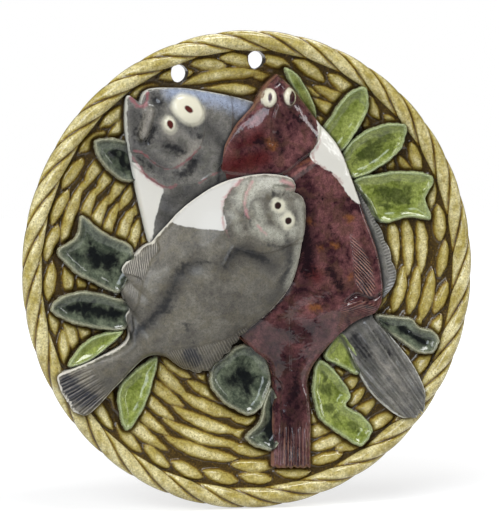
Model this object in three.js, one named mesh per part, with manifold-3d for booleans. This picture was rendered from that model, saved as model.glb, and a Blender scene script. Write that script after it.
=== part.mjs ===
// Oval wall dish of lead-glazed earthenware: three flatfish and a spray of leaves in high relief
// on a basket-weave ground, inside a rim moulded as a twisted rope, pierced by two hanging holes.
//
// Frame: millimetres, +Z up. The dish faces -Y and its foot ring stands on the plane y = 0, so a
// point that stands `lift` in front of the wall has y = -lift. The origin is on the flat back of
// the foot ring, straight above the middle of the dish.
import * as THREE from 'three';
import { mergeVertices } from 'three/addons/utils/BufferGeometryUtils.js';
import Module from 'manifold-3d';

const wasm = await Module();
wasm.setup();

// Driving dimensions
const DISH_HEIGHT = 240;
const DISH_WIDTH = 230;
const WALL = 6.5;               // pottery thickness under the basket ground
const GROUND_LIFT = 9;          // front of the ground at the middle of the dish
const WELL_DEPTH = 14;          // how much higher the ground stands at the border of the basket
const ROPE_RADIUS = 5.2;        // thickness of the rope roll, lobes included
const ROPE_SEAT = 1.4;          // how far the middle of the roll lies behind the ground
const ROPE_GROOVE = 1.6;        // depth of the grooves between rope strands
const ROPE_STRANDS = 36;
const FOOT_RADIUS = 66;         // outside of the foot ring
const FOOT_THICKNESS = 6;
const STRAND_WIDTH = 7.4;       // a basket strand with its groove
const STRAND_STEP = 3.2;        // how far strands of neighbouring sectors are out of step
const STRAND_CREST = 2;         // strands above the mean ground
const STRAND_GROOVE = 1.2;      // grooves below the mean ground
const BORDER_WIDTH = 6;         // the row of short strands along the rope
const BORDER_GAP = 1.2;         // between that row and the rope
const HOLE_DIAMETER = 8.8;
const LEAF_RISE = 5;            // raised leaf edge above the ground
const LEAF_DISHING = 2;         // how far the middle of a leaf lies below its edge
const RIB_WIDTH = 2.2;
const RIB_RISE = 1.1;
const SINK = WALL / 2;          // how deep leaves and fish are rooted in the ground

// The free forms below are shares of this half height
const R = DISH_HEIGHT / 2;
const ROUNDNESS = DISH_WIDTH / DISH_HEIGHT;
const CENTRE_DROP = FOOT_RADIUS - FOOT_THICKNESS / 2;
const ROPE_RING = 1 - ROPE_RADIUS / R;
const BORDER_HALF = BORDER_WIDTH / 2 / R;
const BORDER_RING = 1 - (2 * ROPE_RADIUS + BORDER_GAP) / R - BORDER_HALF;
const COLUMNS = 2 * ROPE_STRANDS;
const STRAND_ANGLE = 360 / ROPE_STRANDS;
const OVERCUT = 10;

// Facets
const FISH_STATIONS = 23;
const LEAF_POINTS = 18;
const EYE_SIDES = 8;
const HOLE_SIDES = 16;
const WELD = 0.02;

const lerp = THREE.MathUtils.lerp;
const clamp = THREE.MathUtils.clamp;

// Height of the mean ground in front of the wall, `share` being the share of the dish radius
const BASKET_EDGE = 0.9;
const WELL_POWER = 2.6;
const groundLift = (share) => GROUND_LIFT + WELL_DEPTH * (share / BASKET_EDGE) ** WELL_POWER;
const ROPE_LIFT = groundLift(ROPE_RING) - ROPE_SEAT;
const shareAt = (x, z) => Math.hypot(x / ROUNDNESS, z) / R;
const groundAt = (x, z) => groundLift(shareAt(x, z));

// A point given by clock angle in degrees, share of the radius and lift
function polar(degrees, share, lift) {
  const angle = THREE.MathUtils.degToRad(degrees);
  return new THREE.Vector3(
    R * ROUNDNESS * share * Math.sin(angle), -lift, R * share * Math.cos(angle),
  );
}

// A point of a free form: x and z in shares of R from the middle, and its rise over the ground
function relief([x, z, rise]) {
  return new THREE.Vector3(x * R, -groundAt(x * R, z * R) - rise * R, z * R);
}

const lowered = (point, lift) => new THREE.Vector3(point.x, -lift, point.z);
const rooted = (point) => lowered(point, groundAt(point.x, point.z) - SINK);
const raised = (point, rise) => new THREE.Vector3(point.x, point.y - rise, point.z);

function smoothCurve(points, closed = false) {
  return new THREE.CatmullRomCurve3(points, closed, 'centripetal');
}

// A closed solid through rings of equally many points; a ring of one point closes an end
function skin(rings) {
  const vertices = [];
  const starts = rings.map((ring) => {
    const start = vertices.length / 3;
    ring.forEach((point) => vertices.push(point.x, point.y, point.z));
    return start;
  });
  const triangles = [];
  for (let row = 0; row + 1 < rings.length; row += 1) {
    const count = Math.max(rings[row].length, rings[row + 1].length);
    for (let i = 0; i < count; i += 1) {
      const j = (i + 1) % count;
      const corner = (ring, index) => starts[ring] + (rings[ring].length === 1 ? 0 : index);
      const [a, b] = [corner(row, i), corner(row, j)];
      const [c, d] = [corner(row + 1, i), corner(row + 1, j)];
      if (a !== b) triangles.push(a, c, b);
      if (c !== d) triangles.push(b, c, d);
    }
  }
  const geometry = new THREE.BufferGeometry();
  geometry.setAttribute('position', new THREE.Float32BufferAttribute(vertices, 3));
  geometry.setIndex(triangles);
  return solid(geometry);
}

// A manifold solid from a closed geometry, turned so that its faces point outward
function solid(geometry) {
  geometry.deleteAttribute('normal');
  geometry.deleteAttribute('uv');
  const merged = mergeVertices(geometry, 1e-4);
  const vertProperties = merged.attributes.position.array;
  const index = Array.from(merged.index.array);
  const triVerts = [];
  for (let i = 0; i < index.length; i += 3) {
    const [a, b, c] = index.slice(i, i + 3);
    if (a !== b && b !== c && c !== a) triVerts.push(a, b, c);
  }
  if (signedVolume(vertProperties, triVerts) < 0) triVerts.reverse();
  return new wasm.Manifold(new wasm.Mesh({
    numProp: 3, vertProperties, triVerts: Uint32Array.from(triVerts),
  }));
}

function signedVolume(positions, triangles) {
  const corner = (i) => new THREE.Vector3().fromArray(positions, 3 * triangles[i]);
  let volume = 0;
  for (let i = 0; i < triangles.length; i += 3) {
    volume += corner(i).dot(corner(i + 1).cross(corner(i + 2)));
  }
  return volume;
}

// Basket ground: sectors of short strands, in clock degrees, woven half a row out of step
const SECTOR_BOUNDS = [
  3, 22, 39, 56, 73, 91, 106, 120, 134, 148, 160.5, 173,
  185, 208.5, 228, 246, 262, 278, 296, 312, 327, 341,
];
const ROWS = 7;
const ROW_PITCH = STRAND_WIDTH / R;
const ROW_STEP = STRAND_STEP / R;
const OUTER_ROW = BORDER_RING - BORDER_HALF - ROW_PITCH / 2 - ROW_STEP;
const STRAND_BLUNTNESS = 0.4;

// Clock angle, row offset and strand fullness of each column of the ground
function basketColumns() {
  const bounds = SECTOR_BOUNDS;
  const columnOf = (degrees) => Math.round(((degrees - bounds[0]) * COLUMNS) / 360);
  return bounds.flatMap((from, sector) => {
    const to = sector + 1 < bounds.length ? bounds[sector + 1] : bounds[0] + 360;
    const count = columnOf(to) - columnOf(from);
    const offset = sector % 2 ? ROW_STEP : 0;
    return Array.from({ length: count }, (_, i) => ({
      degrees: lerp(from, to, i / count),
      offset: i ? offset : ROW_STEP / 2,
      fullness: Math.sin((Math.PI * i) / count) ** STRAND_BLUNTNESS,
    }));
  });
}

function basketRings() {
  const columns = basketColumns();
  const ring = (share, crest) => columns.map(({ degrees, offset, fullness }) => {
    const rise = lerp(-STRAND_GROOVE, STRAND_CREST, crest * fullness);
    return polar(degrees, share + offset, groundLift(share + offset) + rise);
  });
  const rings = [];
  for (let row = ROWS - 1; row >= 0; row -= 1) {
    const share = OUTER_ROW - ROW_PITCH * row;
    rings.push(ring(share - ROW_PITCH / 2, 0), ring(share, 1));
  }
  rings.push(ring(OUTER_ROW + ROW_PITCH / 2, 0));
  return rings;
}

// Border row: one short strand for each strand of the rope, slanting inward clockwise
const BORDER_START = 13;
const BORDER_SLANT = BORDER_HALF / 2;

function borderRing(offset, crest) {
  return Array.from({ length: COLUMNS }, (_, i) => {
    const full = i % 2;
    const degrees = BORDER_START + (i * STRAND_ANGLE) / 2;
    const share = BORDER_RING + offset - (full ? 0 : BORDER_SLANT * Math.sign(offset));
    const rise = lerp(-STRAND_GROOVE, STRAND_CREST, crest * full);
    return polar(degrees, share, groundLift(share) + rise);
  });
}

// Rope rim: a roll whose strands wind once past the front while they advance by ROPE_ADVANCE
const ROPE_START = 1;
const ROPE_ADVANCE = 14;
const ROLL_ANGLES = [168, 128, 92, 56, 18, -25, -75];
const GROOVE_REACH = [-40, 60];   // roll angles over which the grooves deepen from the back

function ropeRing(roll) {
  const wound = clamp(roll / ROLL_ANGLES[0], 0, 1);
  const groove = ROPE_GROOVE * THREE.MathUtils.smoothstep(roll, ...GROOVE_REACH);
  return Array.from({ length: COLUMNS }, (_, i) => {
    const degrees = ROPE_START + wound * ROPE_ADVANCE + (i * STRAND_ANGLE) / 2;
    const radius = ROPE_RADIUS - (i % 2 ? 0 : groove);
    const angle = THREE.MathUtils.degToRad(roll);
    const share = ROPE_RING + (radius * Math.cos(angle)) / R;
    return polar(degrees, share, ROPE_LIFT + radius * Math.sin(angle));
  });
}

// Plain rings of the back, which keeps the wall behind the ground, and the foot ring
function backRing(share, lift = groundLift(share) - WALL) {
  return Array.from({ length: COLUMNS }, (_, i) => (
    polar(ROPE_START + (i * STRAND_ANGLE) / 2, share, lift)
  ));
}

function plateSolid() {
  const footOutside = FOOT_RADIUS / R;
  const footInside = (FOOT_RADIUS - FOOT_THICKNESS) / R;
  const flank = (step) => backRing(lerp(footOutside, ROPE_RING, step));
  return skin([
    [polar(0, 0, GROUND_LIFT)],
    ...basketRings(),
    borderRing(0, 1),
    borderRing(BORDER_HALF, 0),
    ...ROLL_ANGLES.map(ropeRing),
    flank(0.85),
    flank(0.45),
    backRing(footOutside),
    backRing(footOutside, 0),
    backRing(footInside, 0),
    backRing(footInside),
    [polar(0, 0, GROUND_LIFT - WALL)],
  ]);
}

// Flatfish. Each has a back and a belly line from mouth to tail and a ridge between them, in
// shares of R from the middle of the dish: x, z, rise over the ground.
const GREY = {
  back: [
    [0.16, 0.355, 0.165], [0.205, 0.27, 0.18], [0.213, 0.13, 0.175], [0.175, -0.05, 0.155],
    [0.1, -0.16, 0.13], [-0.02, -0.27, 0.09], [-0.1, -0.37, 0.045], [-0.18, -0.432, 0.035],
    [-0.28, -0.41, 0.035], [-0.35, -0.362, 0.045], [-0.43, -0.356, 0.06], [-0.56, -0.465, 0.06],
    [-0.705, -0.582, 0.067], [-0.752, -0.563, 0.067],
  ],
  belly: [
    [0.16, 0.355, 0.165], [0.12, 0.395, 0.165], [0.03, 0.402, 0.158], [-0.13, 0.366, 0.14],
    [-0.27, 0.28, 0.115], [-0.39, 0.17, 0.075], [-0.52, 0.055, 0.042], [-0.545, -0.06, 0.042],
    [-0.53, -0.22, 0.042], [-0.54, -0.3, 0.055], [-0.64, -0.352, 0.06], [-0.75, -0.392, 0.065],
    [-0.819, -0.42, 0.075], [-0.807, -0.475, 0.072],
  ],
  ridge: [
    [0.12, 0.345, 0.2], [0.06, 0.23, 0.242], [-0.05, 0.13, 0.25], [-0.18, -0.015, 0.225],
    [-0.31, -0.18, 0.158], [-0.43, -0.285, 0.108], [-0.56, -0.365, 0.092], [-0.781, -0.52, 0.073],
  ],
};
const BROWN = {
  back: [
    [0.107, 0.819, 0.058], [0.173, 0.765, 0.058], [0.29, 0.625, 0.058], [0.385, 0.517, 0.058],
    [0.44, 0.395, 0.058], [0.51, 0.207, 0.058], [0.562, 0.06, 0.058], [0.583, -0.1, 0.06],
    [0.56, -0.18, 0.066], [0.46, -0.228, 0.07], [0.33, -0.35, 0.058], [0.265, -0.45, 0.05],
    [0.268, -0.6, 0.048], [0.256, -0.834, 0.045],
  ],
  belly: [
    [0.107, 0.819, 0.058], [0.057, 0.771, 0.067], [0.01, 0.69, 0.095], [-0.07, 0.6, 0.117],
    [-0.125, 0.49, 0.117], [-0.14, 0.3, 0.09], [-0.12, 0.08, 0.067], [-0.1, -0.1, 0.056],
    [-0.06, -0.25, 0.05], [0.02, -0.34, 0.042], [0.085, -0.4, 0.042], [0.105, -0.48, 0.042],
    [0.102, -0.65, 0.042], [0.092, -0.83, 0.045],
  ],
  ridge: [
    [0.1, 0.79, 0.095], [0.087, 0.69, 0.133], [0.1, 0.48, 0.158], [0.141, 0.295, 0.158],
    [0.165, 0.04, 0.15], [0.176, -0.17, 0.125], [0.185, -0.34, 0.1], [0.18, -0.51, 0.083],
    [0.173, -0.68, 0.067], [0.17, -0.832, 0.058],
  ],
};
const BLUE = {
  back: [
    [-0.478, 0.682, 0.055], [-0.45, 0.748, 0.05], [-0.32, 0.762, 0.05], [-0.16, 0.744, 0.05],
    [0.032, 0.7, 0.042], [0.22, 0.62, 0.042], [0.4, 0.43, 0.042], [0.525, 0.263, 0.042],
    [0.62, 0.06, 0.042], [0.64, -0.06, 0.042], [0.54, -0.19, 0.038], [0.607, -0.28, 0.05],
    [0.695, -0.4, 0.06], [0.742, -0.52, 0.067], [0.735, -0.59, 0.067],
  ],
  belly: [
    [-0.478, 0.682, 0.055], [-0.523, 0.729, 0.05], [-0.53, 0.6, 0.05], [-0.495, 0.42, 0.05],
    [-0.455, 0.255, 0.042], [-0.4, 0.08, 0.033], [-0.24, -0.12, 0.033], [-0.07, -0.23, 0.033],
    [0.14, -0.28, 0.033], [0.34, -0.263, 0.033], [0.4, -0.287, 0.033], [0.47, -0.43, 0.042],
    [0.54, -0.545, 0.052], [0.645, -0.63, 0.067], [0.695, -0.628, 0.067],
  ],
  ridge: [
    [-0.44, 0.66, 0.09], [-0.326, 0.6, 0.117], [-0.198, 0.442, 0.125], [-0.066, 0.233, 0.117],
    [0.109, 0.041, 0.1], [0.308, -0.132, 0.05], [0.445, -0.261, 0.046], [0.551, -0.397, 0.062],
    [0.717, -0.61, 0.071],
  ],
};

// Share of the way from ridge to edge, and the rounding of the flank between them
const FLANK_STEPS = [0.78, 0.4];
const FLANK_POWER = 2.2;
const STATION_CROWDING = 1.25;       // stations stand closer together at the mouth

function flankPoint(ridge, edge, step) {
  const point = new THREE.Vector3().lerpVectors(ridge, edge, step);
  point.y = edge.y + (ridge.y - edge.y) * (1 - step ** FLANK_POWER);
  return point;
}

function fishSolid({ back, belly, ridge }) {
  const curves = [back, belly, ridge].map((line) => smoothCurve(line.map(relief)));
  const rings = Array.from({ length: FISH_STATIONS }, (_, station) => {
    const [top, bottom, crest] = curves.map((curve) => (
      curve.getPointAt((station / (FISH_STATIONS - 1)) ** STATION_CROWDING)
    ));
    return [
      rooted(top), top, ...FLANK_STEPS.map((step) => flankPoint(crest, top, step)), crest,
      ...FLANK_STEPS.toReversed().map((step) => flankPoint(crest, bottom, step)), bottom,
      rooted(bottom), rooted(crest),
    ];
  });
  return skin([[middle(rings[0])], ...rings, [middle(rings.at(-1))]]);
}

function middle(ring) {
  const sum = ring.reduce((total, point) => total.add(point), new THREE.Vector3());
  return sum.divideScalar(ring.length);
}

// A raised band along a line of relief points: gill covers, jaws, fin rays and tail ribs
function ridgeBand(line, width = RIB_WIDTH, rise = RIB_RISE, steps = 5) {
  const curve = smoothCurve(line.map(relief));
  const rings = Array.from({ length: steps + 1 }, (_, i) => {
    const at = curve.getPointAt(i / steps);
    const along = curve.getTangentAt(i / steps);
    const side = new THREE.Vector3(-along.z, 0, along.x).setLength(width / 2);
    return [
      raised(at, -rise).add(side), raised(at, rise), raised(at, -rise).sub(side),
    ];
  });
  const ends = [line[0], line.at(-1)].map((point) => [raised(relief(point), -rise)]);
  return skin([ends[0], ...rings, ends[1]]);
}

// A low dome with a round foot, as rings of radius and height: an eye
const EYE_PROFILE = [[1, -1], [1, 0.3], [0.6, 0.85]];

function eyeSolid({ at, radius, height }) {
  const centre = relief(at);
  const ring = ([wide, high]) => Array.from({ length: EYE_SIDES }, (_, i) => {
    const angle = (2 * Math.PI * i) / EYE_SIDES;
    const outward = new THREE.Vector3(Math.cos(angle), 0, Math.sin(angle));
    return raised(centre, high * height * R).addScaledVector(outward, wide * radius * R);
  });
  return skin([
    [raised(centre, -height * R)], ...EYE_PROFILE.map(ring), [raised(centre, height * R)],
  ]);
}

// Leaves: outlines round the blade, starting at the stalk, in shares of R
const LEAVES = [
  [[-0.44, 0.4], [-0.5, 0.53], [-0.61, 0.557], [-0.66, 0.54], [-0.635, 0.46], [-0.52, 0.37]],
  [[-0.48, 0.03], [-0.49, 0.1], [-0.61, 0.165], [-0.712, 0.235], [-0.735, 0.15], [-0.815, 0.095],
    [-0.74, 0], [-0.65, -0.05], [-0.55, -0.09]],
  [[-0.47, -0.14], [-0.55, -0.11], [-0.7, -0.075], [-0.81, -0.1], [-0.847, -0.14],
    [-0.8, -0.187], [-0.65, -0.235], [-0.52, -0.24]],
  [[-0.53, -0.25], [-0.63, -0.255], [-0.71, -0.295], [-0.775, -0.385], [-0.7, -0.377],
    [-0.6, -0.315]],
  [[-0.385, -0.36], [-0.405, -0.46], [-0.455, -0.58], [-0.53, -0.66], [-0.56, -0.58],
    [-0.555, -0.48], [-0.47, -0.4]],
  [[-0.02, -0.315], [0.06, -0.35], [0.104, -0.44], [0.085, -0.54], [0.02, -0.615],
    [-0.08, -0.58], [-0.155, -0.5], [-0.16, -0.42], [-0.09, -0.355]],
  [[0.1, -0.5], [0.15, -0.6], [0.14, -0.72], [0.09, -0.765], [-0.02, -0.71], [0.045, -0.64],
    [0.065, -0.56]],
  [[0.31, -0.385], [0.385, -0.445], [0.442, -0.545], [0.42, -0.58], [0.49, -0.625],
    [0.525, -0.69], [0.47, -0.75], [0.38, -0.7], [0.3, -0.63], [0.277, -0.5]],
  [[0.4, -0.27], [0.46, -0.33], [0.48, -0.455], [0.4, -0.42], [0.33, -0.375]],
  [[0.55, -0.2], [0.62, -0.203], [0.706, -0.216], [0.735, -0.25], [0.79, -0.265],
    [0.815, -0.31], [0.79, -0.358], [0.735, -0.366], [0.64, -0.305], [0.56, -0.25]],
  [[0.45, 0.37], [0.55, 0.4], [0.68, 0.412], [0.785, 0.385], [0.758, 0.29], [0.782, 0.205],
    [0.7, 0.213], [0.565, 0.193], [0.5, 0.29]],
  [[0.39, 0.44], [0.44, 0.54], [0.56, 0.608], [0.66, 0.605], [0.65, 0.51], [0.57, 0.43],
    [0.45, 0.38]],
  [[0.3, 0.55], [0.345, 0.64], [0.41, 0.735], [0.478, 0.768], [0.505, 0.69], [0.46, 0.575],
    [0.38, 0.48]],
  [[0.26, 0.6], [0.18, 0.75], [0.14, 0.845], [0.19, 0.825], [0.25, 0.745], [0.29, 0.64]],
];

const BLADE_INNER = 0.35;       // ring between edge and middle, and its share of the dishing
const BLADE_BEND = 0.7;

function leafSolid(outline) {
  const rise = LEAF_RISE / R;
  const edgeCurve = smoothCurve(outline.map(([x, z]) => relief([x, z, rise])), true);
  const edge = edgeCurve.getSpacedPoints(LEAF_POINTS).slice(0, LEAF_POINTS);
  const centre = middle(edge);
  const dished = (point, bend) => (
    lowered(point, groundAt(point.x, point.z) + LEAF_RISE - LEAF_DISHING * bend)
  );
  const inner = edge.map((point) => (
    dished(new THREE.Vector3().lerpVectors(point, centre, BLADE_INNER), BLADE_BEND)
  ));
  return skin([[rooted(centre)], edge.map(rooted), edge, inner, [dished(centre, 1)]]);
}

// Gill covers, jaws, eyes and fins, in the same shares
const BANDS = [
  [[0, 0.39, 0.195], [-0.04, 0.3, 0.23], [-0.05, 0.22, 0.24], [0.03, 0.1, 0.235]],
  [[-0.04, 0.389, 0.165], [-0.11, 0.33, 0.182], [-0.135, 0.25, 0.2], [-0.115, 0.135, 0.225]],
  [[0.296, 0.59, 0.075], [0.28, 0.53, 0.112], [0.21, 0.468, 0.15], [0.12, 0.41, 0.158]],
  [[-0.495, 0.5, 0.064], [-0.42, 0.455, 0.094], [-0.33, 0.43, 0.109], [-0.22, 0.515, 0.115]],
  [[-0.495, 0.47, 0.058], [-0.4, 0.365, 0.088], [-0.3, 0.355, 0.105], [-0.16, 0.4, 0.115]],
  [[-0.47, 0.66, 0.072], [-0.475, 0.62, 0.078], [-0.482, 0.575, 0.073]],
];
const EYES = [
  { at: [0.084, 0.276, 0.232], radius: 0.03, height: 0.013 },
  { at: [0.131, 0.213, 0.224], radius: 0.03, height: 0.013 },
  { at: [0.062, 0.719, 0.112], radius: 0.034, height: 0.026 },
  { at: [0.15, 0.721, 0.107], radius: 0.034, height: 0.026 },
  { at: [-0.274, 0.672, 0.1], radius: 0.045, height: 0.018 },
  { at: [-0.353, 0.61, 0.107], radius: 0.03, height: 0.015 },
];

// Tail ribs: straight bands fanned between the two corners of each tail
const TAIL_RIBS = 4;
const TAILS = [
  {
    root: [[-0.58, -0.47, 0.079], [-0.62, -0.36, 0.079]],
    end: [[-0.7, -0.565, 0.071], [-0.805, -0.43, 0.075]],
  },
  {
    root: [[0.25, -0.62, 0.062], [0.12, -0.62, 0.062]],
    end: [[0.245, -0.825, 0.053], [0.105, -0.82, 0.052]],
  },
  {
    root: [[0.6, -0.32, 0.058], [0.49, -0.42, 0.055]],
    end: [[0.72, -0.53, 0.07], [0.645, -0.61, 0.07]],
  },
];

// The comb of fin rays on the brown fish's right flank
const FIN_RAYS = 7;
const FIN_COMB = {
  root: [[0.449, 0.08, 0.104], [0.455, -0.085, 0.098]],
  end: [[0.527, 0.024, 0.077], [0.53, -0.14, 0.075]],
};

function fannedBands({ root, end }, count = TAIL_RIBS) {
  const between = ([a, b], share) => a.map((value, axis) => lerp(value, b[axis], share));
  return Array.from({ length: count }, (_, i) => {
    const share = (i + 0.5) / count;
    return ridgeBand([between(root, share), between(end, share)], RIB_WIDTH, RIB_RISE, 1);
  });
}

// The two hanging holes, drilled straight through the border row, at these clock angles
const HOLE_ANGLES = [-20.9, 1.8];

function holeSolid(degrees) {
  const depth = ROPE_LIFT + ROPE_RADIUS + 2 * OVERCUT;
  const centre = polar(degrees, BORDER_RING, depth / 2 - OVERCUT);
  const bore = new THREE.CylinderGeometry(HOLE_DIAMETER / 2, HOLE_DIAMETER / 2, depth, HOLE_SIDES);
  return solid(bore.translate(centre.x, centre.y, centre.z));
}

function dishGeometry() {
  const features = [
    ...LEAVES.map(leafSolid),
    ...[BLUE, BROWN, GREY].map(fishSolid),
    ...BANDS.map((line) => ridgeBand(line)),
    ...EYES.map(eyeSolid),
    ...TAILS.flatMap((tail) => fannedBands(tail)),
    ...fannedBands(FIN_COMB, FIN_RAYS),
  ];
  const joined = features.reduce((whole, feature) => whole.add(feature), plateSolid());
  const drilled = HOLE_ANGLES.reduce((whole, angle) => whole.subtract(holeSolid(angle)), joined);
  const { vertProperties, triVerts } = drilled.simplify(WELD).getMesh();
  const geometry = new THREE.BufferGeometry();
  geometry.setAttribute('position', new THREE.Float32BufferAttribute(vertProperties, 3));
  geometry.setIndex(Array.from(triVerts));
  return geometry;
}

const glaze = new THREE.MeshStandardMaterial({ color: 0xb9ae66, roughness: 0.2, metalness: 0 });
const dish = new THREE.Mesh(dishGeometry(), glaze);
dish.name = 'dish';
dish.position.z = -CENTRE_DROP;

const group = new THREE.Group();
group.add(dish);

export default group;
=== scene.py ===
"""Oval wall dish of lead-glazed earthenware: three flatfish and a spray of leaves in high relief.

The plate, its rope rim, the leaves and each fish are modelled again as fine meshes over the same
named sizes as the solid, in metres, facing -Y, and dressed with glazes that pool in the hollows;
painted shade lies beside the raised pieces, and painted highlights and reflections on some crests,
edges and heads.
"""

import logging
import math
from dataclasses import dataclass
from enum import Enum

import bmesh
import bpy
import numpy as np
from mathutils import Euler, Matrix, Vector


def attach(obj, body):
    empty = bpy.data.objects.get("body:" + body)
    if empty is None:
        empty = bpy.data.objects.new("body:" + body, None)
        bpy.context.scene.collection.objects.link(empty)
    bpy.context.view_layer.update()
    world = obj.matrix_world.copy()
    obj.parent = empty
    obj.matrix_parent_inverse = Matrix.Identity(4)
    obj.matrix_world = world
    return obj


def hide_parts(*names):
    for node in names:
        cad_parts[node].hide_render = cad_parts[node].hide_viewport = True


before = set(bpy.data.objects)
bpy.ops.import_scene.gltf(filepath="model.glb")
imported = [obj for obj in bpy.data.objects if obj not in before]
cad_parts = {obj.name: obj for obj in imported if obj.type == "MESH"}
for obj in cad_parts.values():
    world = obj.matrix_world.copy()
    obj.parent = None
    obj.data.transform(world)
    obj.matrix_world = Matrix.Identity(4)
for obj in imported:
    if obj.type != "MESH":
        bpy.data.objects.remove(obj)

LOG = logging.getLogger("wall_dish")
BODY = "root"
SOLID = "dish"
MM = 0.001

Shares = tuple[float, ...]
Line = tuple[Shares, ...]


def smoothstep(low: float, high: float, value: np.ndarray) -> np.ndarray:
    """Return 0 below low, 1 above high and a smooth rise between them."""
    share = np.clip((value - low) / (high - low), 0.0, 1.0)
    return share * share * (3.0 - 2.0 * share)


def smooth_line(points: np.ndarray, count: int, closed: bool = False) -> np.ndarray:
    """Run a centripetal Catmull-Rom curve through points.

    Args:
        points: One row of coordinates for each point.
        count: How many points to return, at equal steps along the curve.
        closed: Whether the curve runs on from the last point to the first.

    Returns:
        The points on the curve, one row each.
    """
    points = np.asarray(points, float)
    if closed:
        knots = np.concatenate([points[-1:], points, points[:2]])
    else:
        first, last = 2 * points[0] - points[1], 2 * points[-1] - points[-2]
        knots = np.concatenate([[first], points, [last]])
    before, start, end, after = knots[:-3], knots[1:-2], knots[2:-1], knots[3:]
    step = [
        np.maximum(np.linalg.norm(b - a, axis=1, keepdims=True), 1e-9) ** 0.5
        for a, b in ((before, start), (start, end), (end, after))
    ]
    leave = (start - before) / step[0] - (end - before) / (step[0] + step[1]) + (end - start) / step[1]
    arrive = (end - start) / step[1] - (after - start) / (step[1] + step[2]) + (after - end) / step[2]
    leave, arrive = leave * step[1], arrive * step[1]
    at = np.linspace(0.0, 1.0, 24, endpoint=False)[:, None, None]
    dense = (
        (2 * at**3 - 3 * at**2 + 1) * start + (at**3 - 2 * at**2 + at) * leave
        + (3 * at**2 - 2 * at**3) * end + (at**3 - at**2) * arrive
    )
    dense = dense.transpose(1, 0, 2).reshape(-1, points.shape[1])
    dense = np.concatenate([dense, end[-1:]])
    return resampled(dense, np.linspace(0.0, 1.0, count + 1)[:-1] if closed else np.linspace(0, 1, count))


def resampled(dense: np.ndarray, shares: np.ndarray) -> np.ndarray:
    """Return the points at the given shares of a polyline's length."""
    length = np.concatenate([[0.0], np.cumsum(np.linalg.norm(np.diff(dense, axis=0), axis=1))])
    return np.stack([np.interp(shares * length[-1], length, axis) for axis in dense.T], axis=1)


def distance_to_line(x: np.ndarray, z: np.ndarray, line: np.ndarray) -> np.ndarray:
    """Return how far each point lies from an open polyline, in the line's own units."""
    best = np.full(x.shape, np.inf)
    for (ax, az), (bx, bz) in zip(line[:-1, :2], line[1:, :2]):
        dx, dz = bx - ax, bz - az
        share = np.clip(((x - ax) * dx + (z - az) * dz) / max(dx * dx + dz * dz, 1e-12), 0.0, 1.0)
        best = np.minimum(best, np.hypot(x - ax - share * dx, z - az - share * dz))
    return best


def depth_in_patch(x: np.ndarray, z: np.ndarray, outline: np.ndarray) -> np.ndarray:
    """Return how deep each point lies inside a closed outline, negative outside it."""
    inside = np.zeros(x.shape, bool)
    closed = np.concatenate([outline, outline[:1]])
    for (ax, az), (bx, bz) in zip(closed[:-1], closed[1:]):
        if az == bz:
            continue
        crosses = (az > z) != (bz > z)
        inside ^= crosses & (x < (bx - ax) * (z - az) / (bz - az) + ax)
    distance = distance_to_line(x, z, closed)
    return np.where(inside, distance, -distance)


def pooled_and_shaded_beside(x: np.ndarray, z: np.ndarray, outlines: list[np.ndarray], reach: float) -> np.ndarray:
    """Return how fully the glaze has pooled, with painted shade, at each point beside raised pieces, from 0
    to 1.

    Args:
        x: Places from the middle of the dish.
        z: Heights from the middle of the dish.
        outlines: The closed outlines of the pieces.
        reach: How far the pool and its painted shade spread.

    Returns:
        One share for each point.
    """
    pool_and_shade = np.zeros(x.shape)
    for outline in outlines:
        low, high = outline.min(axis=0) - 3 * reach, outline.max(axis=0) + 3 * reach
        near = (x > low[0]) & (x < high[0]) & (z > low[1]) & (z < high[1])
        gap = distance_to_line(x[near], z[near], np.concatenate([outline, outline[:1]]))
        pool_and_shade[near] = np.maximum(pool_and_shade[near], np.exp(-((gap / reach) ** 2)))
    return pool_and_shade


@dataclass(frozen=True)
class DishForm:
    """Sizes that every piece is set out from; lifts are measured in front of the wall."""

    height: float = 0.240
    width: float = 0.230
    wall: float = 0.0065
    ground: float = 0.009
    well: float = 0.014
    basket_edge: float = 0.9
    well_power: float = 2.6
    rope_radius: float = 0.0052
    rope_seat: float = 0.0014
    foot_radius: float = 0.066
    foot_thickness: float = 0.006
    border_width: float = 0.006
    border_gap: float = 0.0012
    hole_radius: float = 0.0044
    hole_clocks: tuple[float, float] = (-20.9, 1.8)

    @property
    def half(self) -> float:
        """Half the height, the unit of all shares."""
        return self.height / 2

    @property
    def roundness(self) -> float:
        """Width as a share of the height."""
        return self.width / self.height

    @property
    def middle(self) -> float:
        """Height of the dish's middle over the origin."""
        return self.foot_thickness / 2 - self.foot_radius

    @property
    def rope_ring(self) -> float:
        """Share of the radius at which the rope's middle runs."""
        return 1 - self.rope_radius / self.half

    @property
    def rope_lift(self) -> float:
        """Lift of the rope's middle."""
        return float(self.ground_lift(self.rope_ring)) - self.rope_seat

    @property
    def border_ring(self) -> float:
        """Share of the radius at which the border row runs."""
        room = 2 * self.rope_radius + self.border_gap + self.border_width / 2
        return 1 - room / self.half

    def ground_lift(self, share: np.ndarray | float) -> np.ndarray | float:
        """Return the lift of the mean ground at a share of the radius."""
        return self.ground + self.well * (share / self.basket_edge) ** self.well_power

    def ground_at(self, x: np.ndarray, z: np.ndarray) -> np.ndarray:
        """Return the lift of the mean ground at points measured from the middle."""
        return self.ground_lift(np.hypot(x / self.roundness, z) / self.half)

    def relief(self, line: Line) -> np.ndarray:
        """Turn points of x, z and rise in shares into metres of x, z and lift."""
        points = np.array(line, float) * self.half
        points[:, 2] += self.ground_at(points[:, 0], points[:, 1])
        return points

    def place(self, x: np.ndarray, z: np.ndarray, lift: np.ndarray) -> np.ndarray:
        """Return rows of scene coordinates for points measured from the middle."""
        return np.stack([x, -lift, z + self.middle], axis=1)


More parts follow.
